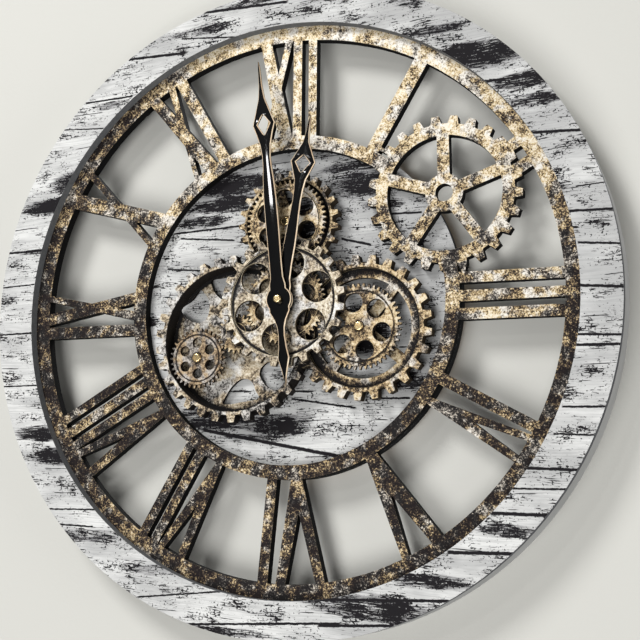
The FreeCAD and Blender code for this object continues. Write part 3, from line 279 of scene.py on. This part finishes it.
discBoard = {
    "paintedShade": (-70.0, 130.0, 0.20), "shift": 61.0, "edge": (0.012, 0.012, 0.012),
    "smudgesAndShadows": [
        (-62, 108, 54, 11, 1.35), (-54, 92, 50, 9, 1.25), (-84, 78, 34, 7, 1.0), (58, 114, 44, 6, 1.1),
        (62, 98, 34, 15, 1.12), (78, 80, 26, 6, 0.9), (70, 62, 34, 3, 0.6), (-134, -4, 12, 8, 1.1),
        # The first two on the next line are painted shadow under the top gear and the right gear
        (1, 67, 30, 27, 1.5), (63, -23, 25, 24, 1.3), (96, -66, 26, 12, 0.9),
        (-66, -90, 50, 13, 1.2), (-14, -98, 38, 12, 1.15), (8, -92, 14, 8, 0.7), (-30, -107, 46, 4, 0.8),
    ],
    "cracks": [
        (-80, -100, 41, -125, 1.6), (-109, 70, -42, 72, 0.9), (-114, 39, -76, 35, 0.8),
        (44, 53, 66, 47, 1.1), (79, 71, 109, 70, 0.9), (67, -79, 97, -80, 0.9), (0, -77, 52, -86, 0.9),
        (-102, 65, -55, 60, 0.8), (79, 46, 108, 43, 0.8),
    ],
}


def boardPrint(finish, board):
    # Colour and height of the print over the plane of the board
    values = boardValues
    shift = board["shift"]
    x, y, level = finish.axes(finish.place())
    wave = finish.noise(finish.point(x / values["waveWidth"], shift, level / values["waveRise"]),
                        1.0, values["waveDetail"])
    # The planks fan out a little towards the right, as they do in the picture that is printed
    height = level / (1 + x * values["fan"]) + (wave - 0.5) * values["wave"]
    clouds = {name: finish.noise(finish.point(x / width, shift + offset, height / rise), 1.0, detail,
                                 values["cloudRoughness"])
              for name, (width, rise, detail, offset) in printClouds.items()}

    def lines(name, offset):
        # Near the closest of many level lines, whose width comes and goes along the grain
        line = printLines[name]
        away = finish.node("ShaderNodeTexVoronoi",
                           {"voronoi_dimensions": "1D", "feature": "DISTANCE_TO_EDGE"},
                           {"W": (height + offset) / line["pitch"], "Scale": 1.0,
                            "Randomness": line["uneven"]}) * line["pitch"]
        width = ((clouds[name] - line["middle"]) * line["grow"]).least(line["widest"])
        width = width + (clouds["jitter"] - 0.5) * line["rough"]
        return away.band(width, width - line["blur"])

    def mark(name):
        # The sum of the mark's clouds by their shares, stepped within its band
        shares = dict(printMarks[name])
        band = shares.pop("band")
        return sum(clouds[cloud] * share for cloud, share in shares.items()).band(*band)

    crack = lines("crack", -shift)
    wobble = (clouds["jitter"] - 0.5) * longCrack["wobble"]
    for x0, level0, x1, level1, half in board["cracks"]:
        slope = (level1 - level0) / (x1 - x0)
        off = (level - x * slope + wobble - (level0 - x0 * slope)).size() / half
        ends = (x - (x0 + x1) / 2).size() / (abs(x1 - x0) / 2 + longCrack["taper"])
        crack = crack.most(off.most(ends ** longCrack["square"]).band(*longCrack["band"]))
    # Smudges of print, and the painted shadows under the top and right gears, gather where they were placed
    # and break up along the grain
    patch = clouds["patch"] * smudgeAndShadow["cloud"]
    for middle, rise, half, low, strength in board["smudgesAndShadows"]:
        run = x - middle
        away = finish.distance(run / half, (level - rise - run * values["fan"] * rise) / low)
        patch = patch.most(away.band(*smudgeAndShadow["band"]) * strength)
    clouds["patch"] = patch
    clouds["cluster"] = clouds["cluster"] + patch * smudgeAndShadow["cluster"]
    # Painted shade: the print turns greyer towards the upper right
    start, stop, amount = board["paintedShade"]
    clouds["soft"] = clouds["soft"] + (level + x).band(start, stop) * amount
    scratch = mark("scratch")
    solid = mark("solid") * (1 - scratch * values["scratchAmount"])
    ink = solid.most(lines("seam", shift)).most(crack).most(mark("speck")).most(mark("dash"))
    base = finish.mix(mark("soft") * values["softAmount"], values["pale"], values["grey"])
    base = finish.mix(mark("grain") * values["grainAmount"], base, values["grey"])
    smoky = mark("smoky") * (1 - scratch) * values["smokyAmount"]
    base = finish.mix(smoky, base, values["smoke"])
    colour = finish.mix(ink, base, values["ink"])
    return colour, 1 - ink * values["inkDepth"] - clouds["grain"] * values["grainDepth"]


def boardFinish(name, board):
    # Print on the front, paint on the cut edges, bare fibre board behind
    values = boardValues
    finish = Finish(name, Specular_IOR_Level=values["specular"])
    colour, height = boardPrint(finish, board)
    fibre = finish.noise(finish.place(), *values["fibre"])
    facing = finish.facing()
    sooty = fibre.band(*values["fibreBand"]) * values["sootAmount"]
    side = finish.mix(sooty, board["edge"], values["soot"])
    back = finish.mix(fibre, values["back"], values["fluff"])
    colour = finish.mix(facing.band(*values["sideBand"]), colour, side)
    colour = finish.mix(facing.band(*values["backBand"]), colour, back)
    finish.surface(Base_Color=colour)
    finish.surface(Roughness=values["roughness"] + fibre * values["fibreRoughness"])
    finish.bump(height * values["printRelief"] + fibre * values["fibreRelief"], values["relief"],
                values["reliefDepth"])
    return finish.material


# Sponged metal paint on the dial and the gears

bronzePaint = {
    "stops": [(0.39, (0.010, 0.008, 0.008)), (0.45, (0.065, 0.045, 0.028)),
              (0.50, (0.25, 0.17, 0.09)), (0.565, (0.50, 0.37, 0.19)), (0.68, (0.66, 0.58, 0.42))],
    "side": (0.03, 0.022, 0.014), "edge": (0.74, 0.58, 0.33), "gold": 0.95,
    "size": 2.2, "bias": 0.025, "contrast": 0.9, "cornerShade": 0.6,
}
# Stops run from the dark ground to the palest dabs, and size is that of the dabs.
# A shade is x, height, half width, half height and how much paler. A shade ring is a dark ring of painted
# shade in a recess by a raised rim or in a groove: its joint or centre, its radius, half its width and how
# dark. The paler edge colour is rubbed paint with a painted highlight on the rounded edges, the darkening
# in corners and under close pieces is painted shade, and the dial's paling towards the top is a painted
# sheen.
paintValues = {
    "dial": {
        "stops": [(0.37, (0.012, 0.009, 0.009)), (0.455, (0.036, 0.027, 0.022)),
                  (0.505, (0.12, 0.085, 0.055)), (0.55, (0.34, 0.24, 0.120)),
                  (0.61, (0.57, 0.44, 0.23)), (0.72, (0.68, 0.63, 0.53))],
        "side": (0.004, 0.004, 0.004), "edge": (0.66, 0.54, 0.35), "gold": 0.98,
        "size": 1.4, "bias": -0.065, "contrast": 1.12, "paintedSheen": 0.175,
        "shades": [(-235, 10, 60, 150, -0.035), (250, 20, 40, 130, -0.10), (-160, 175, 70, 60, -0.10),
                   (190, 0, 45, 45, 0.06), (0, -230, 160, 50, -0.015)]},
    "centre": {
        "stops": [(0.36, (0.012, 0.010, 0.010)), (0.43, (0.10, 0.075, 0.05)),
                  (0.49, (0.31, 0.235, 0.145)), (0.555, (0.54, 0.44, 0.28)),
                  (0.66, (0.70, 0.65, 0.54))],
        "side": (0.07, 0.052, 0.035), "edge": (0.78, 0.68, 0.48), "gold": 0.80,
        "size": 2.3, "bias": 0.02, "contrast": 0.85, "cornerShade": 0.6,
        "shadeRings": [("centre_gear_spin", 43.8, 2.0, 0.30)]},
    "bronze": {
        **bronzePaint,
        "shadeRings": [("right_gear_spin", 28.6, 0.8, 0.22), ("top_gear_spin", 28.6, 0.8, 0.22)]},
    "ring": {
        **bronzePaint,
        "shadeRings": [("right_gear_spin", 45.0, 4.2, 0.07), ("right_gear_spin", 48.0, 1.6, 0.20),
                    ("top_gear_spin", 33.6, 3.4, 0.34)]},
    "plate": {
        "stops": [(0.40, (0.010, 0.009, 0.009)), (0.455, (0.075, 0.055, 0.035)),
                  (0.505, (0.27, 0.20, 0.12)), (0.565, (0.48, 0.38, 0.23)),
                  (0.68, (0.66, 0.61, 0.50))],
        "side": (0.012, 0.010, 0.009), "edge": (0.76, 0.64, 0.41), "gold": 0.85,
        "size": 2.2, "bias": 0.035, "contrast": 0.85, "cornerShade": 0.55,
        "shadeRings": [((-45.6, 0.0, -27.4), 58.6, 2.4, 0.30)]},
    "small": {
        "stops": [(0.38, (0.02, 0.014, 0.010)), (0.45, (0.07, 0.045, 0.026)),
                  (0.51, (0.20, 0.135, 0.075)), (0.59, (0.36, 0.25, 0.13)),
                  (0.70, (0.52, 0.41, 0.26))],
        "side": (0.02, 0.014, 0.009), "edge": (0.58, 0.44, 0.25), "gold": 0.90,
        "size": 1.6, "bias": 0.03, "contrast": 0.8, "cornerShade": 0.5,
        "shadeRings": [("small_gear_spin", 19.4, 1.0, 0.34)]},
}
# What the paints share: each cloud's size as a share of the dabs', detail, roughness, distortion,
# where it is taken and how much it counts
spongeClouds = {
    "blotch": (1, 5, 0.62, 0.3, (0.0, 0.0, 0.0), 0.8), "dab": (4, 3, 0.5, 0.0, (70.0, 30.0, 10.0), 0.5),
    "fine": (0.4, 3, 0.7, 0.0, (0.0, 0.0, 0.0), 0.5), "region": (18, 2, 0.5, 0.0, (0.0, 0.0, 0.0), 0.35),
    "cool": (7, 3, 0.5, 0.0, (-40.0, 90.0, 60.0), 0.0),
}
spongeValues = {
    "apart": 17.0, "specular": 0.12, "back": (0.012, 0.011, 0.011), "backBand": (-0.3, -0.6),
    "paintedSheenBand": (-60.0, 240.0), "paintedSheenLean": 0.35, "shadeBand": (1.3, 0.4), "cornerShadeReach": 7.0,
    "coolBand": (0.47, 0.60), "coolAmount": 0.6, "sideBand": (0.55, 0.25),
    "dustBand": (0.52, 0.72), "dustAmount": 0.12, "dustStop": 2,
    "rubbedAndHighlitStart": (0.30, 0.55), "rubbedAndHighlitStop": (0.97, 0.86), "rubbedAndHighlitFine": (0.32, 0.5), "rubbedAndHighlit": 0.85,
    "frontBand": (0.2, 0.6), "metalBand": (0.47, 0.56), "metal": 0.22,
    "roughness": 0.80, "shinyBand": (0.45, 0.6), "shine": 0.28, "relief": 0.55, "reliefDepth": 0.5,
    "blotchRelief": 0.5, "fineRelief": 0.5,
}


def spongedFinish(name, shift):
    # Blotches of gold and silver over near black; darker in corners by painted shade, and paler on edges by
    # rubbed paint with a painted highlight
    values, common = paintValues[name], spongeValues
    finish = Finish(name + "Paint", Specular_IOR_Level=common["specular"])
    x, y, level = finish.axes(finish.place())
    place = finish.moved(finish.place(), (shift, shift, shift))
    clouds, value = {}, 0.0
    for cloud, (size, detail, roughness, distortion, at, share) in spongeClouds.items():
        clouds[cloud] = finish.noise(finish.moved(place, at), values["size"] * size, detail, roughness,
                                     distortion)
        value = value + (clouds[cloud] - 0.5) * share
    value = value * values["contrast"] + (0.5 + values["bias"])
    # Painted sheen: the dial turns paler towards the top
    if "paintedSheen" in values:
        value = value + (level + x * common["paintedSheenLean"]).band(*common["paintedSheenBand"]) * values["paintedSheen"]
    for middle, rise, half, low, amount in values.get("shades", []):
        away = finish.distance((x - middle) / half, (level - rise) / low)
        value = value + away.band(*common["shadeBand"]) * amount
    # Painted shade darkens the paint in corners and under close pieces
    if "cornerShade" in values:
        value = value - (1 - finish.cornerShade(common["cornerShadeReach"])) * values["cornerShade"]
    # Rings of painted shade in recesses by raised rims and in grooves
    for centre, radius, half, amount in values.get("shadeRings", []):
        if centre in jointPlace:
            centre = jointPlace[centre] / mm
        east, north = x - centre[0], level - centre[2]
        away = ((east * east + north * north) ** 0.5 - radius).size()
        value = value - away.band(half, 0.0) * amount
    colour = finish.ramp(value, values["stops"])
    # Some regions are silver rather than gold
    cool = clouds["cool"].band(*common["coolBand"])
    colour = finish.node("ShaderNodeHueSaturation", None,
                         {"Color": colour, "Saturation": values["gold"] - cool * common["coolAmount"]})
    facing = finish.facing()
    fine = clouds["fine"]
    dust = fine.band(*common["dustBand"]) * common["dustAmount"]
    side = finish.mix(dust, values["side"], values["stops"][common["dustStop"]][1])
    colour = finish.mix(facing.band(*common["sideBand"]), colour, side)
    # Rubbed paint and a painted highlight on the rounded edges
    rubbedAndHighlit = (facing.band(*common["rubbedAndHighlitStart"]) * facing.band(*common["rubbedAndHighlitStop"])
              * fine.band(*common["rubbedAndHighlitFine"]))
    colour = finish.mix(rubbedAndHighlit * common["rubbedAndHighlit"], colour, values["edge"])
    colour = finish.mix(facing.band(*common["backBand"]), colour, common["back"])
    front = facing.band(*common["frontBand"])
    finish.surface(Base_Color=colour)
    finish.surface(Metallic=value.band(*common["metalBand"]) * front * common["metal"])
    finish.surface(Roughness=common["roughness"]
                   - value.band(*common["shinyBand"]) * front * common["shine"])
    finish.bump(clouds["blotch"] * common["blotchRelief"] + fine * common["fineRelief"],
                common["relief"], common["reliefDepth"])
    return finish.material


# Plain finishes: a colour, a second one in clouds of a size, roughness, metal and relief

plainValues = {
    "hoopPaint": {"colour": (0.56, 0.56, 0.54), "second": (0.50, 0.50, 0.48), "size": 30.0,
                  "roughness": 0.65},
    "brass": {"colour": (0.78, 0.62, 0.34), "second": (0.60, 0.42, 0.20), "size": 4.0,
              "roughness": 0.26, "metallic": 1.0, "relief": 0.02},
    "steel": {"colour": (0.56, 0.56, 0.55), "second": (0.42, 0.42, 0.41), "size": 5.0,
              "roughness": 0.34, "metallic": 1.0, "relief": 0.02},
    "blackPlastic": {"colour": (0.018, 0.018, 0.019), "second": (0.028, 0.028, 0.03), "size": 9.0,
                     "roughness": 0.48},
    "whitePlastic": {"colour": (0.72, 0.71, 0.67), "second": (0.62, 0.61, 0.57), "size": 6.0,
                     "roughness": 0.4},
    "sleevePaint": {"colour": (0.03, 0.032, 0.035), "second": (0.05, 0.05, 0.055), "size": 14.0,
                    "roughness": 0.3},
    "copper": {"colour": (0.60, 0.25, 0.12), "second": (0.42, 0.16, 0.07), "size": 1.2,
               "roughness": 0.35, "metallic": 0.9, "relief": 0.1},
    "circuitGreen": {"colour": (0.02, 0.13, 0.055), "second": (0.03, 0.18, 0.08), "size": 2.0,
                     "roughness": 0.35},
    "glossBlack": {"colour": (0.001, 0.001, 0.0012), "second": (0.0018, 0.0018, 0.002), "size": 20.0,
                   "roughness": 0.5, "relief": 0.004, "Coat_Weight": 0.42, "Coat_Roughness": 0.04,
                   "Specular_IOR_Level": 0.03},
    "roseGold": {"colour": (0.86, 0.70, 0.50), "second": (0.78, 0.56, 0.36), "size": 8.0,
                 "roughness": 0.36, "metallic": 0.25, "relief": 0.01},
}
# Detail and roughness of the clouds and of the fine texture, whose size is a share of theirs
plainCloud = {"cloud": (5, 0.6), "fine": (3, 0.6), "fineShare": 0.12, "band": (0.35, 0.7),
              "uneven": 0.25, "relief": 0.3}


def plainFinish(name, colour, second, size, roughness, metallic=0.0, relief=0.05, **constants):
    # One colour with faint clouds of a second, and a fine texture in the surface
    finish = Finish(name, **constants)
    place = finish.place()
    cloud = finish.noise(place, size, *plainCloud["cloud"])
    fine = finish.noise(place, size * plainCloud["fineShare"], *plainCloud["fine"])
    finish.surface(Base_Color=finish.mix(cloud.band(*plainCloud["band"]), colour, second))
    finish.surface(Roughness=roughness + (cloud - 0.5) * plainCloud["uneven"], Metallic=metallic)
    finish.bump(fine, plainCloud["relief"], relief)
    return finish.material


paints = {name: spongedFinish(name, spongeValues["apart"] * index)
          for index, name in enumerate(paintValues)}
rimPrint = boardFinish("rimPrint", rimBoard)
discPrint = boardFinish("discPrint", discBoard)
plains = {name: plainFinish(name, **values) for name, values in plainValues.items()}
print("finishes are made")


# Merge distance in millimetres; faces within the flat angle are one, and edges past sharp are worn
wornEdge = {"merge": 0.002, "flat": 1, "sharp": 50, "evenness": 80}


def softened(node, material, width, steps):
    # A copy of a CAD node with its flat faces joined and its edges rounded
    source = frame["nodes"][node]
    mesh = source.data.copy()
    work = bmesh.new()
    work.from_mesh(mesh)
    bmesh.ops.remove_doubles(work, verts=work.verts, dist=wornEdge["merge"] * mm)
    bmesh.ops.dissolve_limit(work, angle_limit=math.radians(wornEdge["flat"]), verts=work.verts,
                             edges=work.edges)
    bmesh.ops.recalc_face_normals(work, faces=work.faces)
    work.to_mesh(mesh)
    work.free()
    mesh.materials.clear()
    mesh.materials.append(material)
    piece = added(node + "Worn", mesh)
    mesh.polygons.foreach_set("use_smooth", [True] * len(mesh.polygons))
    mesh.update()
    bevel = piece.modifiers.new("worn edge", "BEVEL")
    bevel.width = width * mm
    bevel.segments = steps
    bevel.limit_method = "ANGLE"
    bevel.angle_limit = math.radians(wornEdge["sharp"])
    bevel.use_clamp_overlap = True
    # Large flat faces keep their own shading right up to the rounded edges
    even = piece.modifiers.new("even shading", "WEIGHTED_NORMAL")
    even.weight = wornEdge["evenness"]
    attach(piece, source["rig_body"])
    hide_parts(node)


def dress(node, material):
    mesh = frame["nodes"][node].data
    mesh.materials.clear()
    mesh.materials.append(material)


# Wooden pieces: their finish, and the width and steps of their rounded edges

wornPieces = {
    "dial_panel": (paints["dial"], 0.8, 2), "centre_ring_gear": (paints["centre"], 0.7, 2),
    "centre_fine_gear": (paints["bronze"], 0.25, 1), "right_ring_gear": (paints["ring"], 0.8, 2),
    "right_fine_gear": (paints["bronze"], 0.25, 1), "top_ring_gear": (paints["ring"], 0.7, 2),
    "top_fine_gear": (paints["bronze"], 0.25, 1), "left_gear_plate": (paints["plate"], 0.8, 2),
    "small_gear": (paints["small"], 0.25, 1), "idler_gear": (paints["bronze"], 0.25, 1),
    "rim_board": (rimPrint, 0.5, 2), "centre_disc": (discPrint, 0.4, 2),
}
for node, (material, width, steps) in wornPieces.items():
    softened(node, material, width, steps)
print("wooden pieces are dressed")

# The other pieces keep their own meshes

dressedPieces = {
    "hoopPaint": ("rim_hoop",),
    "brass": ("hand_nut", "ring_nut", "neck_nut", "centre_sleeve", "top_post", "top_cap", "right_axle",
              "right_cap", "right_bush", "idler_post", "small_post", "small_cap", "drive_pinion",
              "hour_tube"),
    "steel": ("dial_screws", "disc_screws", "plate_screws", "hanger_plate", "hanger_screws",
              "minute_arbor", "movement_contacts", "drive_contacts", "gear_motor"),
    "blackPlastic": ("movement_case", "movement_cover", "drive_case", "drive_cover", "switch_body"),
    "whitePlastic": ("motion_wheel", "hour_wheel", "setting_knob", "drive_wheel", "switch_slider"),
    "sleevePaint": ("movement_cell", "drive_cell"),
    "copper": ("movement_coil",),
    "circuitGreen": ("movement_circuit",),
}
for name, nodes in dressedPieces.items():
    for node in nodes:
        dress(node, plains[name])
print("metal and plastic pieces are dressed")

# Hands: a ridge down the middle, sloping glossy sides and a pale metal edge all round

# The blade's points are height and half width as shares of the hand's length, and the tail's are
# shares of the tail. The diamond opening has its foot, middle and head, and half its width. Turn is
# how far the hand stands left of twelve, in degrees, and level how far out it lies.
minuteHand = {
    "node": "minute_hand", "length": 202.6, "tail": 71.3, "turn": 5.2, "level": 50.4,
    "blade": [(0.059, 0.0346), (0.089, 0.0276), (0.148, 0.0267), (0.296, 0.0286),
              (0.415, 0.0281), (0.494, 0.0242), (0.553, 0.0192), (0.592, 0.0183),
              (0.642, 0.0232), (0.691, 0.0355), (0.731, 0.0484), (0.790, 0.0296),
              (0.839, 0.0148), (0.893, 0.0079), (0.967, 0.0054), (1.0, 0.0)],
    "tailBlade": [(0.140, 0.1206), (0.238, 0.0701), (0.323, 0.0463), (0.421, 0.0407),
                  (0.561, 0.0519), (0.673, 0.0701), (0.785, 0.0421), (0.926, 0.0126), (1.0, 0.0)],
    "diamond": (0.681, 0.731, 0.773, 0.0272),
}
hourHand = {
    "node": "hour_hand", "length": 154.7, "tail": 10.8, "turn": -9.8, "level": 46.4,
    "blade": [(0.078, 0.0452), (0.116, 0.0349), (0.194, 0.0317), (0.291, 0.0336),
              (0.388, 0.0310), (0.452, 0.0271), (0.530, 0.0246), (0.588, 0.0265),
              (0.646, 0.0330), (0.692, 0.0504), (0.743, 0.0698), (0.789, 0.0472),
              (0.847, 0.0194), (0.892, 0.0123), (0.963, 0.0071), (1.0, 0.0)],
    "tailBlade": [(0.0, 0.0), (1.0, 0.0)],
    "diamond": (0.681, 0.740, 0.781, 0.0400),
}
# Both hands: the hub's radius, the thickness at the ridge, the gold edge's width, the fall of the
# sides for each millimetre outwards, and shares of the thickness and of the sides' width
handShape = {
    "hub": 10.8, "hubRows": 25, "rows": 160, "thick": 2.0, "edge": 0.75, "slope": 0.07,
    "edgeShare": 0.45, "footShare": 0.45, "crownShare": 0.55, "bulge": 0.35, "lipShare": 0.6,
    "goldStrips": (1, 4), "holeStrips": (4, 5), "merge": 0.01, "thinnest": 0.005,
}


def handRows(values):
    # Rows along the hand: half the width runs straight between the blade's points, or round the
    # hub where that is wider, and half the opening runs straight between the diamond's corners
    length, tail, hub = values["length"], values["tail"], handShape["hub"]
    blade = np.array(values["blade"]) * length
    back = np.array(values["tailBlade"]) * tail
    foot, waist, head, half = (share * length for share in values["diamond"])
    ring = hub * np.sin(np.radians(np.linspace(-90, 90, handShape["hubRows"])))
    along = np.concatenate([blade[:, 0], -back[:, 0], [foot, waist, head], ring,
                            np.linspace(-tail, length, handShape["rows"])])
    along = np.unique(np.round(along[(along >= -tail) & (along <= length)], 3))
    width = np.where(along >= 0, np.interp(along, blade[:, 0], blade[:, 1]),
                     np.interp(-along, back[:, 0], back[:, 1]))
    width = np.maximum(width, np.sqrt(np.clip(hub ** 2 - along ** 2, 0, None)))
    width[[0, -1]] = 0
    hole = np.interp(along, [foot, waist, head], [0, half, 0], left=0, right=0)
    return along, width, hole


def handSection(width, hole):
    # Seven points from the outline inwards: its foot and shoulder, the gold edge's inner line, the
    # middle of the side, the lip of the opening, and the opening's wall. The side falls from the
    # ridge by the slope, and is bent at its middle into a flatter and a steeper facet.
    thick, slope = handShape["thick"], handShape["slope"]
    edge = np.minimum(handShape["edge"], (width - hole) * handShape["edgeShare"])
    lip = np.where(hole > 0, np.minimum(edge, hole), 0)
    crown = thick - slope * (width - edge)
    middle = (width - edge + hole + lip) / 2
    flat = 0 * width
    across = np.stack([width, width, width - edge, middle, hole + lip, hole, hole], 1)
    rise = np.stack([flat, thick * handShape["footShare"] + flat,
                     np.maximum(crown, thick * handShape["crownShare"]),
                     (crown + thick) / 2 + slope * (middle - hole) * handShape["bulge"],
                     thick - slope * (hole + lip), thick - slope * hole - lip * handShape["lipShare"],
                     flat], 1)
    return across, rise


def clockHand(values):
    # A grid of rows along and points across for one half, then the same mirrored, both turned to
    # where the hand stands; strips at the opening are left out where it is closed
    along, width, hole = handRows(values)
    across, rise = handSection(width, hole)
    rows, columns = across.shape
    turn = math.radians(values["turn"])
    v = np.repeat(along[:, None], columns, 1)
    near, column = np.meshgrid(np.arange(rows - 1), np.arange(columns), indexing="ij")
    other = (column + 1) % columns
    corners = np.stack([near * columns + column, near * columns + other,
                        (near + 1) * columns + other, (near + 1) * columns + column], 2)
    opened = (hole[:-1] + hole[1:] > 0)[:, None]
    kept = ~np.isin(column, handShape["holeStrips"]) | opened
    points, faces = [], []
    for index, side in enumerate((1, -1)):
        u = across * side
        x = u * math.cos(turn) - v * math.sin(turn)
        z = u * math.sin(turn) + v * math.cos(turn)
        points.append(np.stack([x, -(values["level"] + rise), z], 2).reshape(-1, 3))
        quads = corners[kept] + index * rows * columns
        faces.append(quads[:, ::side])
    mesh = bpy.data.meshes.new(values["node"] + "Blade")
    mesh.from_pydata((np.concatenate(points) * mm).tolist(), [], np.concatenate(faces).tolist())
    mesh.materials.append(plains["glossBlack"])
    mesh.materials.append(plains["roseGold"])
    looks = np.isin(column[kept], handShape["goldStrips"]).astype(int)
    mesh.polygons.foreach_set("material_index", np.tile(looks, 2))
    work = bmesh.new()
    work.from_mesh(mesh)
    bmesh.ops.remove_doubles(work, verts=work.verts, dist=handShape["merge"] * mm)
    bmesh.ops.dissolve_degenerate(work, edges=work.edges, dist=handShape["thinnest"] * mm)
    bmesh.ops.recalc_face_normals(work, faces=work.faces)
    work.to_mesh(mesh)
    work.free()
    piece = added(values["node"] + "Blade", mesh)
    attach(piece, frame["nodes"][values["node"]]["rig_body"])
    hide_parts(values["node"])


clockHand(minuteHand)
clockHand(hourHand)
print("hands are made")

# Camera: where the photograph was taken from, to the right, up and out from the middle of the
# rim's face. Its own turns are in radians, and the clock's tilt on the photograph in degrees.

cameraValues = {"place": (387.14, -176.06, 980.22), "yaw": 0.3492, "pitch": -0.1529, "roll": 0.0248,
                "focalPixels": 1313.7, "imagePixels": 640, "sensor": 36.0, "tilt": 1.7,
                "rimDepth": 36.0, "near": 10.0}


def lookFrom(values):
    # The camera's axes in the rim's own plane, untilted and stood upright on the wall
    yaw, pitch, roll = values["yaw"], values["pitch"], values["roll"]
    back = Vector((math.sin(yaw) * math.cos(pitch), math.sin(pitch), math.cos(yaw) * math.cos(pitch)))
    level = Vector((math.cos(yaw), 0.0, -math.sin(yaw)))
    rise = back.cross(level)
    right = level * math.cos(roll) + rise * math.sin(roll)
    up = rise * math.cos(roll) - level * math.sin(roll)
    turn = Matrix.Rotation(-math.radians(values["tilt"]), 3, "Z")
    stand = Matrix.Rotation(math.radians(90), 3, "X")
    axes = [stand @ (turn @ axis) for axis in (right, up, back)]
    place = stand @ (turn @ Vector(values["place"])) - Vector((0, values["rimDepth"], 0))
    pose = Matrix((axes[0], axes[1], axes[2])).transposed().to_4x4()
    pose.translation = place * mm
    return pose


cameraData = bpy.data.cameras.new("camera")
cameraData.sensor_width = cameraValues["sensor"]
cameraData.lens = cameraValues["focalPixels"] / cameraValues["imagePixels"] * cameraValues["sensor"]
cameraData.clip_start = cameraValues["near"] * mm
camera = added("camera", cameraData)
camera.matrix_world = lookFrom(cameraValues)
bpy.context.scene.camera = camera

# Wall behind the clock; from behind it is seen through, so that the clock's back shows. Roll is the
# size, detail and roughness of the paint roller's texture, and broad the size and detail of the
# faint clouds in its colour.

wallValues = {"half": 3000.0, "gap": 0.4, "colour": (0.54, 0.535, 0.50), "dimmer": 0.93,
              "specular": 0.2, "roughness": 0.85, "roll": (3.5, 4, 0.55), "broad": (900.0, 2),
              "relief": 0.35}


def wall():
    finish = Finish("wallPaint", Specular_IOR_Level=wallValues["specular"])
    place = finish.place()
    roll = finish.noise(place, *wallValues["roll"])
    broad = finish.noise(place, *wallValues["broad"])
    pale = wallValues["colour"]
    dim = tuple(part * wallValues["dimmer"] for part in pale)
    finish.surface(Base_Color=finish.mix(broad, pale, dim), Roughness=wallValues["roughness"])
    finish.bump(roll, wallValues["relief"], wallValues["relief"])
    behind = finish.node("ShaderNodeNewGeometry", output=6)
    clear = finish.node("ShaderNodeBsdfTransparent")
    shown = finish.node("ShaderNodeMixShader", None,
                        {0: behind, 1: Wire(finish, finish.shader.outputs[0]), 2: clear})
    output = next(node for node in finish.tree.nodes if node.type == "OUTPUT_MATERIAL")
    finish.tree.links.new(shown.socket, output.inputs["Surface"])
    half, depth = wallValues["half"] * mm, wallValues["gap"] * mm
    corners = [(-half, depth, -half), (half, depth, -half), (half, depth, half), (-half, depth, half)]
    mesh = bpy.data.meshes.new("wall")
    mesh.from_pydata(corners, [], [(0, 1, 2, 3)])
    piece = added("wall", mesh)
    mesh.materials.append(finish.material)
    # The wall takes the clock's shadow, but throws no light or shadow back on it
    piece.visible_diffuse = False
    piece.visible_glossy = False
    piece.visible_shadow = False


wall()

# Round soft lamps that face the clock's middle: place and width in metres, power in watts
lampValues = {
    "keyLamp": ((-0.85, -1.75, 1.5), 0.8, 46), "fillLamp": ((-0.2, -2.3, -1.2), 1.8, 50),
    "sideLamp": ((2.2, -0.9, -0.4), 1.4, 16), "streakLamp": ((-0.67, -2.26, 0.755), 0.13, 3.4),
    "backLamp": ((0.1, 1.3, 2.0), 1.2, 34),
}
for name, (place, width, power) in lampValues.items():
    data = bpy.data.lights.new(name, "AREA")
    data.shape = "DISK"
    data.size = width
    data.energy = power
    light = added(name, data)
    light.location = place
    light.rotation_euler = (-Vector(place)).to_track_quat("-Z", "Y").to_euler()

worldValues = {"colour": (0.95, 0.95, 0.94), "strength": 0.2}
world = bpy.data.worlds.new("studio")
bpy.context.scene.world = world
world.use_nodes = True
background = world.node_tree.nodes["Background"]
background.inputs["Color"].default_value = (*worldValues["colour"], 1)
background.inputs["Strength"].default_value = worldValues["strength"]
bpy.context.scene.view_settings.view_transform = "Standard"
print("camera and lamps are set")
